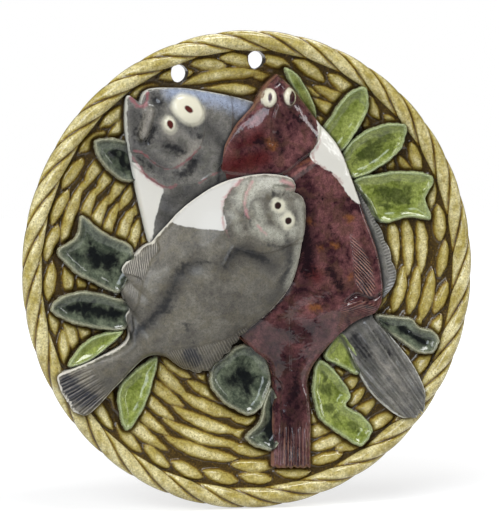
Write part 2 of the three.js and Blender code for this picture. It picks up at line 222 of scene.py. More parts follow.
def mesh_points(mesh: bpy.types.Mesh) -> np.ndarray:
    """Return the mesh's vertices as rows of coordinates."""
    flat = np.empty(len(mesh.vertices) * 3)
    mesh.vertices.foreach_get("co", flat)
    return flat.reshape(-1, 3)


def move_points(mesh: bpy.types.Mesh, points: np.ndarray) -> None:
    """Move the mesh's vertices to new places."""
    mesh.vertices.foreach_set("co", points.astype(np.float32).ravel())
    mesh.update()


def paint_field(mesh: bpy.types.Mesh, name: str, values: np.ndarray) -> None:
    """Store one number a vertex for the glaze to follow."""
    layer = mesh.attributes.get(name) or mesh.attributes.new(name, "FLOAT", "POINT")
    layer.data.foreach_set("value", values.astype(np.float32))


def mesh_from(bm: bmesh.types.BMesh, name: str) -> bpy.types.Mesh:
    """Turn a bmesh into a new mesh and free it."""
    mesh = bpy.data.meshes.new(name)
    bm.to_mesh(mesh)
    bm.free()
    return mesh


def finished_piece(name: str, mesh: bpy.types.Mesh, material: bpy.types.Material) -> bpy.types.Object:
    """Make a smooth object of a mesh that stands for the solid dish.

    Args:
        name: The piece's name.
        mesh: Its mesh, in place.
        material: Its glaze.

    Returns:
        The linked object, riding on the dish's one body.
    """
    piece = bpy.data.objects.new(name, mesh)
    bpy.context.scene.collection.objects.link(piece)
    mesh.materials.append(material)
    mesh.polygons.foreach_set("use_smooth", [True] * len(mesh.polygons))
    mesh.update()
    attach(piece, BODY)
    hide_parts(SOLID)
    LOG.info("%s: %d faces", name, len(mesh.polygons))
    return piece


def spun_solid(name: str, profile: list[tuple[float, float]], steps: int) -> bpy.types.Mesh:
    """Spin a profile about the Y axis into a closed solid.

    Args:
        name: The mesh's name.
        profile: Points of radius and lift, from axis to axis or closing on themselves.
        steps: How many steps the full turn has.

    Returns:
        The mesh, with its faces pointing outward.
    """
    bm = bmesh.new()
    verts = [bm.verts.new((0.0, -lift, radius)) for radius, lift in profile]
    edges = [bm.edges.new(pair) for pair in zip(verts[:-1], verts[1:])]
    if profile[0][0] > 0:
        edges.append(bm.edges.new((verts[-1], verts[0])))
    bmesh.ops.spin(
        bm, geom=verts + edges, cent=(0, 0, 0), axis=(0, 1, 0), angle=math.tau, steps=steps,
        use_merge=True, use_duplicate=False,
    )
    bmesh.ops.remove_doubles(bm, verts=bm.verts, dist=1e-7)
    bmesh.ops.recalc_face_normals(bm, faces=bm.faces)
    return mesh_from(bm, name)


@dataclass(frozen=True)
class Colour:
    """A colour as the eye reads it, from 0 to 255."""

    red: int
    green: int
    blue: int

    def linear(self) -> tuple[float, float, float, float]:
        """Return the colour as the shader takes it."""
        parts = [part / 255 for part in (self.red, self.green, self.blue)]
        line = [p / 12.92 if p <= 0.04045 else ((p + 0.055) / 1.055) ** 2.4 for p in parts]
        return (line[0], line[1], line[2], 1.0)


class Nodes:
    """A node tree with short calls for the nodes that the glazes are mixed from."""

    def __init__(self, tree: bpy.types.NodeTree) -> None:
        """Hold the tree.

        Args:
            tree: The material's tree or a group.
        """
        self.tree = tree

    def add(self, kind: str, inputs: dict | None = None, **settings: object) -> bpy.types.Node:
        """Add a node.

        Args:
            kind: The node's type.
            inputs: Values or sockets by input name or number.
            settings: The node's own settings.

        Returns:
            The new node.
        """
        node = self.tree.nodes.new(kind)
        for key, value in settings.items():
            setattr(node, key, value)
        for key, value in (inputs or {}).items():
            if isinstance(value, bpy.types.NodeSocket):
                self.tree.links.new(value, node.inputs[key])
            elif isinstance(value, Colour):
                node.inputs[key].default_value = value.linear()
            else:
                node.inputs[key].default_value = value
        return node

    def place(self) -> bpy.types.NodeSocket:
        """Return the object coordinates."""
        return self.add("ShaderNodeTexCoord").outputs["Object"]

    def field(self, name: str) -> bpy.types.NodeSocket:
        """Return a field stored on the mesh."""
        return self.add("ShaderNodeAttribute", attribute_name=name).outputs["Fac"]

    def noise(self, place: bpy.types.NodeSocket, scale: float | bpy.types.NodeSocket,
              detail: float = 3.0, warp: float = 0.0) -> bpy.types.NodeSocket:
        """Return a cloudy value around one half."""
        inputs = {"Vector": place, "Scale": scale, "Detail": detail, "Distortion": warp}
        return self.add("ShaderNodeTexNoise", inputs).outputs["Fac"]

    def between(self, value: bpy.types.NodeSocket, low: float, high: float,
                to_low: float = 0.0, to_high: float = 1.0) -> bpy.types.NodeSocket:
        """Return the value mapped smoothly from low..high to to_low..to_high."""
        inputs = {
            "Value": value, "From Min": low, "From Max": high, "To Min": to_low, "To Max": to_high,
        }
        return self.add(
            "ShaderNodeMapRange", inputs, interpolation_type="SMOOTHSTEP",
        ).outputs["Result"]

    def math(self, operation: str, first: object, second: object = 0.0) -> bpy.types.NodeSocket:
        """Return one arithmetic step."""
        return self.add("ShaderNodeMath", {0: first, 1: second}, operation=operation).outputs[0]

    def mix(self, share: object, under: object, over: object) -> bpy.types.NodeSocket:
        """Return the colour under, covered by the colour over to a share."""
        inputs = {"Factor": share, 6: under, 7: over}
        return self.add("ShaderNodeMix", inputs, data_type="RGBA").outputs[2]

    def group(self, tree: bpy.types.NodeTree, **inputs: object) -> bpy.types.Node:
        """Add a group node with its values.

        Args:
            tree: The group.
            inputs: Values by input name, with underscores for spaces.

        Returns:
            The group node.
        """
        node = self.tree.nodes.new("ShaderNodeGroup")
        node.node_tree = tree
        for key, value in inputs.items():
            socket = node.inputs[key.replace("_", " ")]
            if isinstance(value, bpy.types.NodeSocket):
                self.tree.links.new(value, socket)
            else:
                socket.default_value = value
        return node


class GlazeEffects:
    """The effects that all the glazes share, each a node group built once."""

    def __init__(self) -> None:
        """Build the three groups."""
        self.mottle = self._mottle()
        self.speckle = self._speckle()
        self.skin = self._skin()

    @staticmethod
    def _sockets(tree: bpy.types.NodeTree, inputs: dict[str, float], outputs: list[str]) -> None:
        """Give a group its named number sockets."""
        for name, value in inputs.items():
            socket = tree.interface.new_socket(name, in_out="INPUT", socket_type="NodeSocketFloat")
            socket.default_value = value
        for name in outputs:
            tree.interface.new_socket(name, in_out="OUTPUT", socket_type="NodeSocketFloat")

    def _mottle(self) -> bpy.types.NodeTree:
        """Build the cloudy drift and the fine grain of a glaze that ran in the kiln."""
        tree = bpy.data.node_groups.new("glaze_mottle", "ShaderNodeTree")
        self._sockets(tree, {"Scale": 60.0, "Contrast": 0.5}, ["Drift", "Cloud", "Grain"])
        nodes = Nodes(tree)
        given = nodes.add("NodeGroupInput").outputs
        place = nodes.place()
        broad = nodes.noise(place, given["Scale"], 4.0, 0.6)
        fine = nodes.noise(place, nodes.math("MULTIPLY", given["Scale"], 4.3), 5.0, 0.3)
        grain = nodes.noise(place, nodes.math("MULTIPLY", given["Scale"], 21.0), 3.0)
        both = nodes.math("ADD", nodes.math("MULTIPLY", broad, 0.6), nodes.math("MULTIPLY", fine, 0.4))
        spread = nodes.math("MULTIPLY", nodes.math("SUBTRACT", both, 0.5), given["Contrast"])
        drift = nodes.add("ShaderNodeMath", {0: spread, 1: 6.0, 2: 0.5}, operation="MULTIPLY_ADD",
                          use_clamp=True)
        sharp = nodes.between(grain, 0.38, 0.64)
        nodes.add("NodeGroupOutput", {"Drift": drift.outputs[0], "Cloud": broad, "Grain": sharp})
        return tree

    def _speckle(self) -> bpy.types.NodeTree:
        """Build the small dark iron specks in the glaze."""
        tree = bpy.data.node_groups.new("kiln_speckle", "ShaderNodeTree")
        self._sockets(tree, {"Scale": 900.0, "Size": 0.25, "Spread": 0.5}, ["Specks"])
        nodes = Nodes(tree)
        given = nodes.add("NodeGroupInput").outputs
        place = nodes.place()
        cells = nodes.add("ShaderNodeTexVoronoi", {"Vector": place, "Scale": given["Scale"]})
        near = nodes.math("LESS_THAN", cells.outputs["Distance"], given["Size"])
        left_out = nodes.math("SUBTRACT", 1.0, given["Spread"])
        chosen = nodes.math("GREATER_THAN", cells.outputs["Color"], left_out)
        nodes.add("NodeGroupOutput", {"Specks": nodes.math("MULTIPLY", near, chosen)})
        return tree

    def _skin(self) -> bpy.types.NodeTree:
        """Build the gentle ripple and the uneven gloss of a thick glaze."""
        tree = bpy.data.node_groups.new("glaze_skin", "ShaderNodeTree")
        self._sockets(tree, {"Scale": 260.0, "Gloss": 0.1}, ["Ripple", "Roughness"])
        nodes = Nodes(tree)
        given = nodes.add("NodeGroupInput").outputs
        place = nodes.place()
        slow = nodes.noise(place, given["Scale"], 2.0)
        quick = nodes.noise(place, nodes.math("MULTIPLY", given["Scale"], 5.0), 2.0)
        ripple = nodes.math("ADD", nodes.math("MULTIPLY", slow, 0.8), nodes.math("MULTIPLY", quick, 0.2))
        rough = nodes.math("ADD", given["Gloss"], nodes.math("MULTIPLY", quick, 0.08))
        nodes.add("NodeGroupOutput", {"Ripple": ripple, "Roughness": rough})
        return tree


class Glaze:
    """A glossy glaze: a material with a Principled shader and the shared skin."""

    SKIN_SCALE = 260.0
    GRIT_SCALE = 950.0
    IOR = 1.5
    COAT_ROUGHNESS = 0.03

    def __init__(self, name: str, effects: GlazeEffects, gloss: float, ripple: float,
                 coat: float = 0.6) -> None:
        """Start the material.

        Args:
            name: The material's name.
            effects: The shared node groups.
            gloss: Roughness of the smoothest places.
            ripple: Height of the skin's ripple in metres.
            coat: Weight of the clear layer over the glaze.
        """
        self.material = bpy.data.materials.new(name)
        self.material.use_nodes = True
        self.effects = effects
        self.nodes = Nodes(self.material.node_tree)
        self.shader = self.material.node_tree.nodes["Principled BSDF"]
        skin = self.nodes.group(effects.skin, Scale=self.SKIN_SCALE, Gloss=gloss)
        self.skin = self.nodes.add(
            "ShaderNodeBump", {"Height": skin.outputs["Ripple"], "Distance": ripple},
        ).outputs["Normal"]
        links = self.material.node_tree.links
        links.new(skin.outputs["Roughness"], self.shader.inputs["Roughness"])
        links.new(self.skin, self.shader.inputs["Normal"])
        self.shader.inputs["IOR"].default_value = self.IOR
        self.shader.inputs["Coat Weight"].default_value = coat
        self.shader.inputs["Coat Roughness"].default_value = self.COAT_ROUGHNESS

    def emboss(self, height: bpy.types.NodeSocket, distance: float) -> None:
        """Press a further relief into the skin.

        Args:
            height: The relief's height, about one at its crests.
            distance: What a height of one stands for, in metres.
        """
        bump = self.nodes.add(
            "ShaderNodeBump", {"Height": height, "Distance": distance, "Normal": self.skin},
        )
        self.material.node_tree.links.new(bump.outputs["Normal"], self.shader.inputs["Normal"])

    def grained(self, colour: bpy.types.NodeSocket, depth: float) -> bpy.types.NodeSocket:
        """Return the colour with a fine grain of lighter and darker grit.

        Args:
            colour: The even colour.
            depth: How far the grain lightens and darkens it, as a share.
        """
        grit = self.nodes.noise(self.nodes.place(), self.GRIT_SCALE, 4.0, 0.4)
        factor = self.nodes.between(grit, 0.34, 0.66, 1.0 - depth, 1.0 + depth)
        node = self.nodes.add("ShaderNodeVectorMath", {0: colour, "Scale": factor}, operation="SCALE")
        return node.outputs["Vector"]

    def colour(self, socket: bpy.types.NodeSocket) -> bpy.types.Material:
        """Give the glaze its colour and return the finished material."""
        self.material.node_tree.links.new(socket, self.shader.inputs["Base Color"])
        return self.material


@dataclass(frozen=True)
class BasketGlaze:
    """Straw-yellow glaze that breaks pale on the strands, with a painted highlight there, and pools brown
    between them.
    """

    crest_pale_and_highlight: Colour = Colour(230, 220, 168)
    straw: Colour = Colour(172, 156, 82)
    amber: Colour = Colour(124, 98, 34)
    pooled: Colour = Colour(64, 50, 28)
    back_light: Colour = Colour(156, 138, 84)
    back_dark: Colour = Colour(88, 68, 36)

    def build(self, effects: GlazeEffects) -> bpy.types.Material:
        """Mix the glaze over the strand height stored on the mesh."""
        glaze = Glaze("basket_glaze", effects, gloss=0.1, ripple=0.00022)
        nodes = glaze.nodes
        mottle = nodes.group(effects.mottle, Scale=70.0, Contrast=0.5)
        specks = nodes.group(effects.speckle, Scale=950.0, Size=0.38, Spread=0.36)
        wobble = nodes.between(mottle.outputs["Drift"], 0.0, 1.0, -0.14, 0.14)
        strand = nodes.math("ADD", nodes.field("strand"), wobble)
        body = nodes.mix(nodes.between(strand, 0.04, 0.4), self.pooled, self.amber)
        body = nodes.mix(nodes.between(strand, 0.32, 0.72), body, self.straw)
        # Pale where the glaze breaks thin on the strand crests, which also stands in for a painted
        # highlight.
        body = nodes.mix(nodes.between(strand, 0.74, 1.1), body, self.crest_pale_and_highlight)
        body = nodes.mix(nodes.math("MULTIPLY", mottle.outputs["Grain"], 0.26), body, self.amber)
        body = nodes.mix(nodes.math("MULTIPLY", specks.outputs["Specks"], 0.5), body, self.amber)
        # Painted shade, with the glaze pooled there, beside the pieces that lie on the plate.
        body = nodes.mix(nodes.math("MULTIPLY", nodes.field("pool_and_shade"), 0.85), body, self.pooled)
        body = glaze.grained(body, 0.2)
        back = nodes.mix(mottle.outputs["Drift"], self.back_dark, self.back_light)
        return glaze.colour(nodes.mix(nodes.field("rear"), body, back))


@dataclass(frozen=True)
class LeafGlaze:
    """Green glaze, pale on the leaf rims with a painted sheen; some leaves are flooded with blue-black."""

    # Rim colours: the glaze thinning on the rims, with a painted sheen over it.
    rim: Colour = Colour(172, 184, 146)
    gold: Colour = Colour(178, 176, 148)
    green: Colour = Colour(158, 168, 92)
    moss: Colour = Colour(110, 122, 50)
    shadow: Colour = Colour(32, 42, 16)
    slate: Colour = Colour(118, 126, 104)
    deep: Colour = Colour(58, 66, 54)
    ink: Colour = Colour(12, 15, 18)
    wall_pool_and_shade: Colour = Colour(58, 44, 22)

    def build(self, effects: GlazeEffects) -> bpy.types.Material:
        """Mix the glaze over the distance from the rim, in millimetres, and the leaf's tone."""
        glaze = Glaze("leaf_glaze", effects, gloss=0.07, ripple=0.00022)
        nodes = glaze.nodes
        mottle = nodes.group(effects.mottle, Scale=120.0, Contrast=0.85)
        patches = nodes.between(nodes.noise(nodes.place(), 150.0, 4.0, 0.8), 0.3, 0.7, -0.35, 0.35)
        blade, tone, grain = nodes.field("blade"), nodes.field("tone"), mottle.outputs["Grain"]
        loose = nodes.math("ADD", nodes.field("core"), patches)
        calm = nodes.math("ADD", nodes.field("core"), nodes.math("MULTIPLY", patches, 0.55))
        light = nodes.mix(mottle.outputs["Drift"], self.moss, self.green)
        light = nodes.mix(nodes.math("MULTIPLY", grain, 0.3), light, self.moss)
        pool_and_shade = nodes.math("MULTIPLY", nodes.between(loose, 0.35, 0.95), nodes.math("MULTIPLY", tone, 2.1))
        light = nodes.mix(nodes.math("MINIMUM", pool_and_shade, 0.85), light, self.shadow)
        dark = nodes.mix(mottle.outputs["Drift"], self.deep, self.slate)
        dark = nodes.mix(nodes.math("MULTIPLY", grain, 0.35), dark, self.deep)
        dark = nodes.mix(nodes.between(calm, 0.42, 0.88, 0.0, 0.97), dark, self.ink)
        flooded = nodes.between(tone, 0.45, 0.9)
        body = nodes.mix(flooded, light, dark)
        edge = nodes.math("ADD", blade, nodes.between(grain, 0.0, 1.0, -0.4, 0.4))
        # Pale rims: glaze thinning on the rims and a painted sheen.
        rim = nodes.mix(flooded, self.rim, self.gold)
        body = nodes.mix(nodes.between(edge, 0.5, 2.6, 0.62, 0.0), body, rim)
        # Painted shade, with pooled glaze, on the side walls at the foot of each leaf.
        body = nodes.mix(nodes.between(edge, -0.3, 0.45, 0.95, 0.0), body, self.wall_pool_and_shade)
        # Painted shade, with the glaze pooled there, beside the fish that lie over the leaves.
        body = nodes.mix(nodes.math("MULTIPLY", nodes.field("pool_and_shade"), 0.85), body, self.ink)
        return glaze.colour(glaze.grained(body, 0.2))


@dataclass(frozen=True)
class FishGlaze:
    """One fish's glazes: its skin colours, a white belly, the pink of gills and lips, and painted shade and
    highlights.
    """

    name: str
    light: Colour
    deep: Colour
    tint: Colour
    shade: Colour
    spot_and_sheen: Colour
    tone_and_highlight: Colour
    # Fin-ray crests: glaze breaking pale, and a painted highlight.
    line: Colour
    # Outline colour: glaze thinning at the edge, with a painted highlight along it.
    edge: Colour
    pupil: Colour
    gloss: float = 0.1
    coat: float = 0.3
    drift: float = 45.0
    contrast: float = 0.5
    haze: float = 1.8
    spotting: float = 0.85
    blur: float = 0.45
    iris: float = 0.5
    grit: float = 0.18
    white: Colour = Colour(222, 219, 210)
    pink: Colour = Colour(152, 78, 86)
    cream: Colour = Colour(232, 227, 204)

    def build(self, effects: GlazeEffects) -> bpy.types.Material:
        """Mix the glazes over the fields stored on the mesh, all of them in millimetres."""
        glaze = Glaze(self.name, effects, gloss=self.gloss, ripple=0.00014, coat=self.coat)
        nodes = glaze.nodes
        mottle = nodes.group(effects.mottle, Scale=self.drift, Contrast=self.contrast)
        specks = nodes.group(effects.speckle, Scale=1300.0, Size=0.34, Spread=0.4)
        clouds = nodes.noise(nodes.place(), 2.1 * self.drift, 4.0, 0.9)
        wobble = nodes.between(mottle.outputs["Drift"], 0.0, 1.0, -0.5, 0.5)
        fray = nodes.between(nodes.noise(nodes.place(), 480.0, 3.0), 0.3, 0.7, -0.5, 0.5)
        torn = nodes.math("ADD", wobble, fray)

        def lay(under: bpy.types.NodeSocket, name: str, soft: float, loose: float, share: float,
                over: Colour, wave: bpy.types.NodeSocket = torn) -> bpy.types.NodeSocket:
            """Cover the colour under with a stored patch whose edge wavers."""
            depth = nodes.math("ADD", nodes.field(name), nodes.math("MULTIPLY", wave, loose))
            full = nodes.math("MULTIPLY", nodes.between(depth, -soft, soft), share)
            return nodes.mix(full, under, over)

        body = nodes.mix(mottle.outputs["Drift"], self.deep, self.light)
        body = nodes.mix(nodes.between(clouds, 0.45, 0.66, 0.0, 0.6), body, self.tint)
        body = nodes.mix(nodes.math("MULTIPLY", mottle.outputs["Grain"], 0.2), body, self.deep)
        # Broad soft darkening: painted shade under gill covers and along grooves, and a darker lower body
        # and tail.
        body = lay(body, "broad_shade", 4.0, 1.5, 0.6, self.shade, wobble)
        # The deep red of the brown fish, and a painted highlight on the heads of the grey and the blue
        # fish.
        body = lay(body, "tone_and_highlight", 3.6, 2.5, 0.8, self.tone_and_highlight, wobble)
        # Amber and near-black spots of the glaze, and on the blue fish a painted bluish reflection along
        # the upper back.
        body = lay(body, "spot_and_sheen", self.haze, 1.6, self.spotting, self.spot_and_sheen)
        body = lay(body, "shade", 2.0, 2.5, 0.88, self.shade)
        body = nodes.mix(nodes.math("MULTIPLY", specks.outputs["Specks"], 0.35), body, self.shade)
        bent = nodes.math("MULTIPLY", fray, 0.9)
        ray = nodes.math("SINE", nodes.math("ADD", nodes.field("ray"), bent))
        glaze.emboss(nodes.math("MULTIPLY", ray, nodes.field("fin")), 0.00005)
        body = glaze.grained(body, self.grit)
        # Fin rays: paler on their crests and darker between them, partly glaze thinning and pooling, partly
        # painted highlight and shade.
        broken = nodes.math("MULTIPLY", nodes.between(clouds, 0.3, 0.6, 0.35, 1.0), nodes.field("fin"))
        ray_crest_pale_and_lit = nodes.math("MULTIPLY", nodes.between(ray, 0.0, 1.0), broken)
        body = nodes.mix(nodes.math("MULTIPLY", ray_crest_pale_and_lit, 0.8), body, self.line)
        ray_trough_pool_and_shade = nodes.math("MULTIPLY", nodes.between(ray, -1.0, 0.0, 1.0, 0.0), broken)
        body = nodes.mix(nodes.math("MULTIPLY", ray_trough_pool_and_shade, 0.6), body, self.shade)
        body = lay(body, "white", 0.35, 0.9, 1.0, self.white, wobble)
        body = lay(body, "pink", 0.8, 0.9, 0.62, self.pink)
        body = lay(body, "eye", self.blur, self.iris, 0.92, self.cream, wobble)
        body = lay(body, "pupil", 0.35, 0.2, 1.0, self.pupil)
        # Painted shade, with the glaze pooled there, beside the fish that lie over this one.
        body = nodes.mix(nodes.math("MULTIPLY", nodes.field("pool_and_shade"), 0.85), body, self.shade)
        # A thin pale line along the outline: the glaze thinning at the edge, with a painted highlight on
        # it.
        return glaze.colour(lay(body, "rim", 0.3, 0.5, 0.85, self.edge))


@dataclass
class Plate:
    """The plate: basket ground in front, plain back and foot ring behind."""

    form: DishForm
    steps: int = 600
    rows: int = 7
    strand_pitch: float = 0.0074
    strand_step: float = 0.0032
    crest: float = 0.0020
    groove: float = 0.0012
    half_width: float = 0.0035
    sectors: tuple[float, ...] = (
        3, 22, 39, 56, 73, 91, 106, 120, 134, 148, 160.5, 173,
        185, 208.5, 228, 246, 262, 278, 296, 312, 327, 341,
    )
    border_start: float = 8.0
    border_strands: int = 36
    foot_round: float = 0.0008
    pool_reach: float = 0.0014
    front_end: float = 0.94
    rear_step: float = 0.0015

    def profile(self) -> list[tuple[float, float]]:
        """Return radius and lift from the middle of the front round to the middle of the back."""
        form = self.form
        front = [0.0, 0.1, 0.2, *np.linspace(0.28, 0.93, 128), 0.945, 0.955]
        points = [(share * form.half, float(form.ground_lift(share))) for share in front]
        rim = form.rope_ring * form.half
        points += [(rim + 0.8 * MM, form.rope_lift - 1.5 * MM), (rim - 0.5 * MM, form.rope_lift - 4 * MM)]
        outside, inside = form.foot_radius, form.foot_radius - form.foot_thickness
        for radius in np.linspace(self.front_end * form.half, outside + MM, 12):
            points.append((radius, self.back_lift(radius)))
        soft = self.foot_round
        points += [
            (outside, self.back_lift(outside) - soft), (outside, soft), (outside - soft, 0.0),
            (inside + soft, 0.0), (inside, soft), (inside, self.back_lift(inside) - soft),
        ]
        for radius in np.linspace(inside - MM, 0.02, 5):
            points.append((radius, self.back_lift(radius)))
        return [*points, (0.0, self.back_lift(0.0))]

    def back_lift(self, radius: float) -> float:
        """Return the lift of the back, one wall behind the ground."""
        return float(self.form.ground_lift(radius / self.form.half)) - self.form.wall

    def strands(self) -> list[tuple[float, float, float, float, float, float]]:
        """Return clock angle, share, half angle, half width, slant and fullness of each strand."""
        form, rng = self.form, np.random.default_rng(11)
        pitch, step = self.strand_pitch / form.half, self.strand_step / form.half
        half_border = form.border_width / 2 / form.half
        outer = form.border_ring - half_border - pitch / 2 - step
        wide = self.half_width / form.half
        found = []
        for index, start in enumerate(self.sectors):
            end = self.sectors[index + 1] if index + 1 < len(self.sectors) else self.sectors[0] + 360
            for row in range(self.rows):
                share = outer - row * pitch + (step if index % 2 else 0.0)
                found.append((
                    (start + end) / 2 + rng.normal(0, 0.5), share + rng.normal(0, 0.0025),
                    (end - start) / 2 * rng.uniform(1.1, 1.28), wide * rng.uniform(0.9, 1.05),
                    rng.normal(0.008, 0.004), rng.uniform(0.88, 1.0),
                ))
        for index in range(self.border_strands):
            turn = 360 / self.border_strands
            found.append((
                self.border_start + index * turn + rng.normal(0, 0.5),
                form.border_ring + rng.normal(0, 0.0015), turn * rng.uniform(0.46, 0.56),
                half_border * rng.uniform(1.05, 1.2), 0.016 + rng.normal(0, 0.004),
                rng.uniform(0.85, 1.0),
            ))
        return found

    def strand_height(self, clock: np.ndarray, share: np.ndarray) -> np.ndarray:
        """Return how high the nearest strand stands at each point, from groove 0 to crest 1."""
        height = np.zeros(clock.shape)
        angle = np.radians(clock)
        share = share + 0.0014 * np.sin(31 * angle + 90 * share) + 0.0009 * np.sin(67 * angle - 140 * share)
        for middle, ring, half_angle, half_width, slant, full in self.strands():
            along = ((clock - middle + 180) % 360 - 180) / half_angle
            near = (np.abs(along) < 1) & (np.abs(share - ring) < 2.5 * half_width)
            s = along[near]
            taper = (1 - np.abs(s) ** 2.2) ** 0.75
            across = (share[near] - ring + slant * s) / np.maximum(half_width * taper, 1e-6)
            bulge = np.sqrt(np.clip(1 - np.abs(across) ** 2.5, 0, 1)) * taper**0.3 * full
            height[near] = np.maximum(height[near], bulge)
        return height

    def build(self, glaze: bpy.types.Material, outlines: list[np.ndarray]) -> bpy.types.Object:
        """Spin the plate, raise its strands round the outlined pieces and drill its two holes."""
        form = self.form
        mesh = spun_solid("plate", self.profile(), self.steps)
        points = mesh_points(mesh)
        radius = np.hypot(points[:, 0], points[:, 2])
        clock = np.degrees(np.arctan2(points[:, 0], points[:, 2]))
        share = radius / form.half
        front = (-points[:, 1] > form.ground_lift(share) - 0.1 * MM) & (share < self.front_end)
        # How far the glaze pools and painted shade falls beside the pieces; it also flattens the strands
        # there.
        pool_and_shade = pooled_and_shaded_beside(points[:, 0] * form.roundness, points[:, 2], outlines, self.pool_reach)
        height = np.where(front, self.strand_height(clock, share), 0.0) * (1 - 0.8 * pool_and_shade)
        lift = -points[:, 1] + np.where(front, height * (self.crest + self.groove) - self.groove, 0.0)
        move_points(mesh, form.place(points[:, 0] * form.roundness, points[:, 2], lift))
        paint_field(mesh, "strand", height)
        paint_field(mesh, "pool_and_shade", np.where(front, pool_and_shade, 0.0))
        behind = -points[:, 1] < form.ground_lift(share) - self.rear_step
        paint_field(mesh, "rear", np.where(behind, 1.0, 0.0))
        piece = finished_piece("basket_plate", mesh, glaze)
        self.drill(piece)
        return piece

    def drill(self, piece: bpy.types.Object) -> None:
        """Cut the hanging holes through the border row."""
        form = self.form
        bm = bmesh.new()
        for clock in form.hole_clocks:
            angle = math.radians(clock)
            made = bmesh.ops.create_cone(
                bm, cap_ends=True, segments=48, radius1=form.hole_radius, radius2=form.hole_radius,
                depth=0.05,
            )
            ring = form.half * form.border_ring
            bmesh.ops.rotate(bm, verts=made["verts"], matrix=Euler((math.pi / 2, 0, 0)).to_matrix())
            bmesh.ops.translate(bm, verts=made["verts"], vec=(
                ring * form.roundness * math.sin(angle), -form.rope_lift,
                ring * math.cos(angle) + form.middle,
            ))
        cutter = bpy.data.objects.new("hole_cutter", mesh_from(bm, "hole_cutter"))
        bpy.context.scene.collection.objects.link(cutter)
        cut = piece.modifiers.new("holes", "BOOLEAN")
        cut.object, cut.operation, cut.solver = cutter, "DIFFERENCE", "EXACT"
        drilled = bpy.data.meshes.new_from_object(
            piece.evaluated_get(bpy.context.evaluated_depsgraph_get()),
        )
        piece.modifiers.remove(cut)
        piece.data = drilled
        bpy.data.objects.remove(cutter)


@dataclass
class RopeRim:
    """The rim, moulded as a rope of strands that wind over the front."""

    form: DishForm
    steps: int = 864
    section: int = 36
    strands: int = 36
    groove: float = 0.0018
    cleft: float = 0.085
    start: float = 1.0
    advance: float = 14.0
    front_end: float = 168.0
    pool_reach: float = 0.0014

    def build(self, glaze: bpy.types.Material, outlines: list[np.ndarray]) -> bpy.types.Object:
        """Spin a round roll, press the grooves between its strands and darken it beside the tails with
        pooled glaze and painted shade.
        """
        form = self.form
        ring = form.rope_ring * form.half
        circle = [
            (ring + form.rope_radius * math.cos(a), form.rope_lift + form.rope_radius * math.sin(a))
            for a in np.linspace(0, math.tau, self.section, endpoint=False)
        ]
        mesh = spun_solid("rope_rim", circle, self.steps)
        points = mesh_points(mesh)
        radius = np.hypot(points[:, 0], points[:, 2])
        clock = np.degrees(np.arctan2(points[:, 0], points[:, 2]))
        out, up = radius - ring, -points[:, 1] - form.rope_lift
        roll = np.degrees(np.arctan2(up, out))
        roll = np.where(roll < -100, roll + 360, roll)
        wound = np.clip(roll / self.front_end, 0, 1.15)
        phase = (clock - self.start - self.advance * wound) * self.strands / 360
        aside = np.abs((phase + 0.5) % 1.0 - 0.5)
        cleft = np.exp(-((aside / self.cleft) ** 2))
        hollow = 0.55 * cleft + 0.45 * (1 - np.sin(np.pi * (phase % 1.0)) ** 0.8)
        reach = smoothstep(-40, 45, roll) * (1 - 0.4 * smoothstep(150, 200, roll))
        shrink = 1 - self.groove * hollow * reach / form.rope_radius
        lift = form.rope_lift + up * shrink
        radius = ring + out * shrink
        angle = np.radians(clock)
        x, z = radius * np.sin(angle) * form.roundness, radius * np.cos(angle)
        move_points(mesh, form.place(x, z, lift))
        # Painted shade, with the glaze pooled there, beside the tails.
        paint_field(mesh, "pool_and_shade", pooled_and_shaded_beside(x, z, outlines, self.pool_reach))
        seen = smoothstep(-60, 10, roll)
        pooled = np.maximum(cleft * seen, 0.75 * smoothstep(165, 185, roll))
        paint_field(mesh, "strand", 1 - pooled - 0.25 * aside * seen)
        paint_field(mesh, "rear", smoothstep(-70, -100, np.where(roll > 200, roll - 360, roll)))
        return finished_piece("rope_rim", mesh, glaze)


class LeafTone(Enum):
    """How far a leaf is flooded with the dark glaze."""

    LIGHT = 0.0
    DEEP = 0.35
    DARK = 1.0


@dataclass(frozen=True)
class Leaf:
    """One leaf: its outline from the stalk round, in shares, and its tone."""

    name: str
    outline: Line
    tone: LeafTone


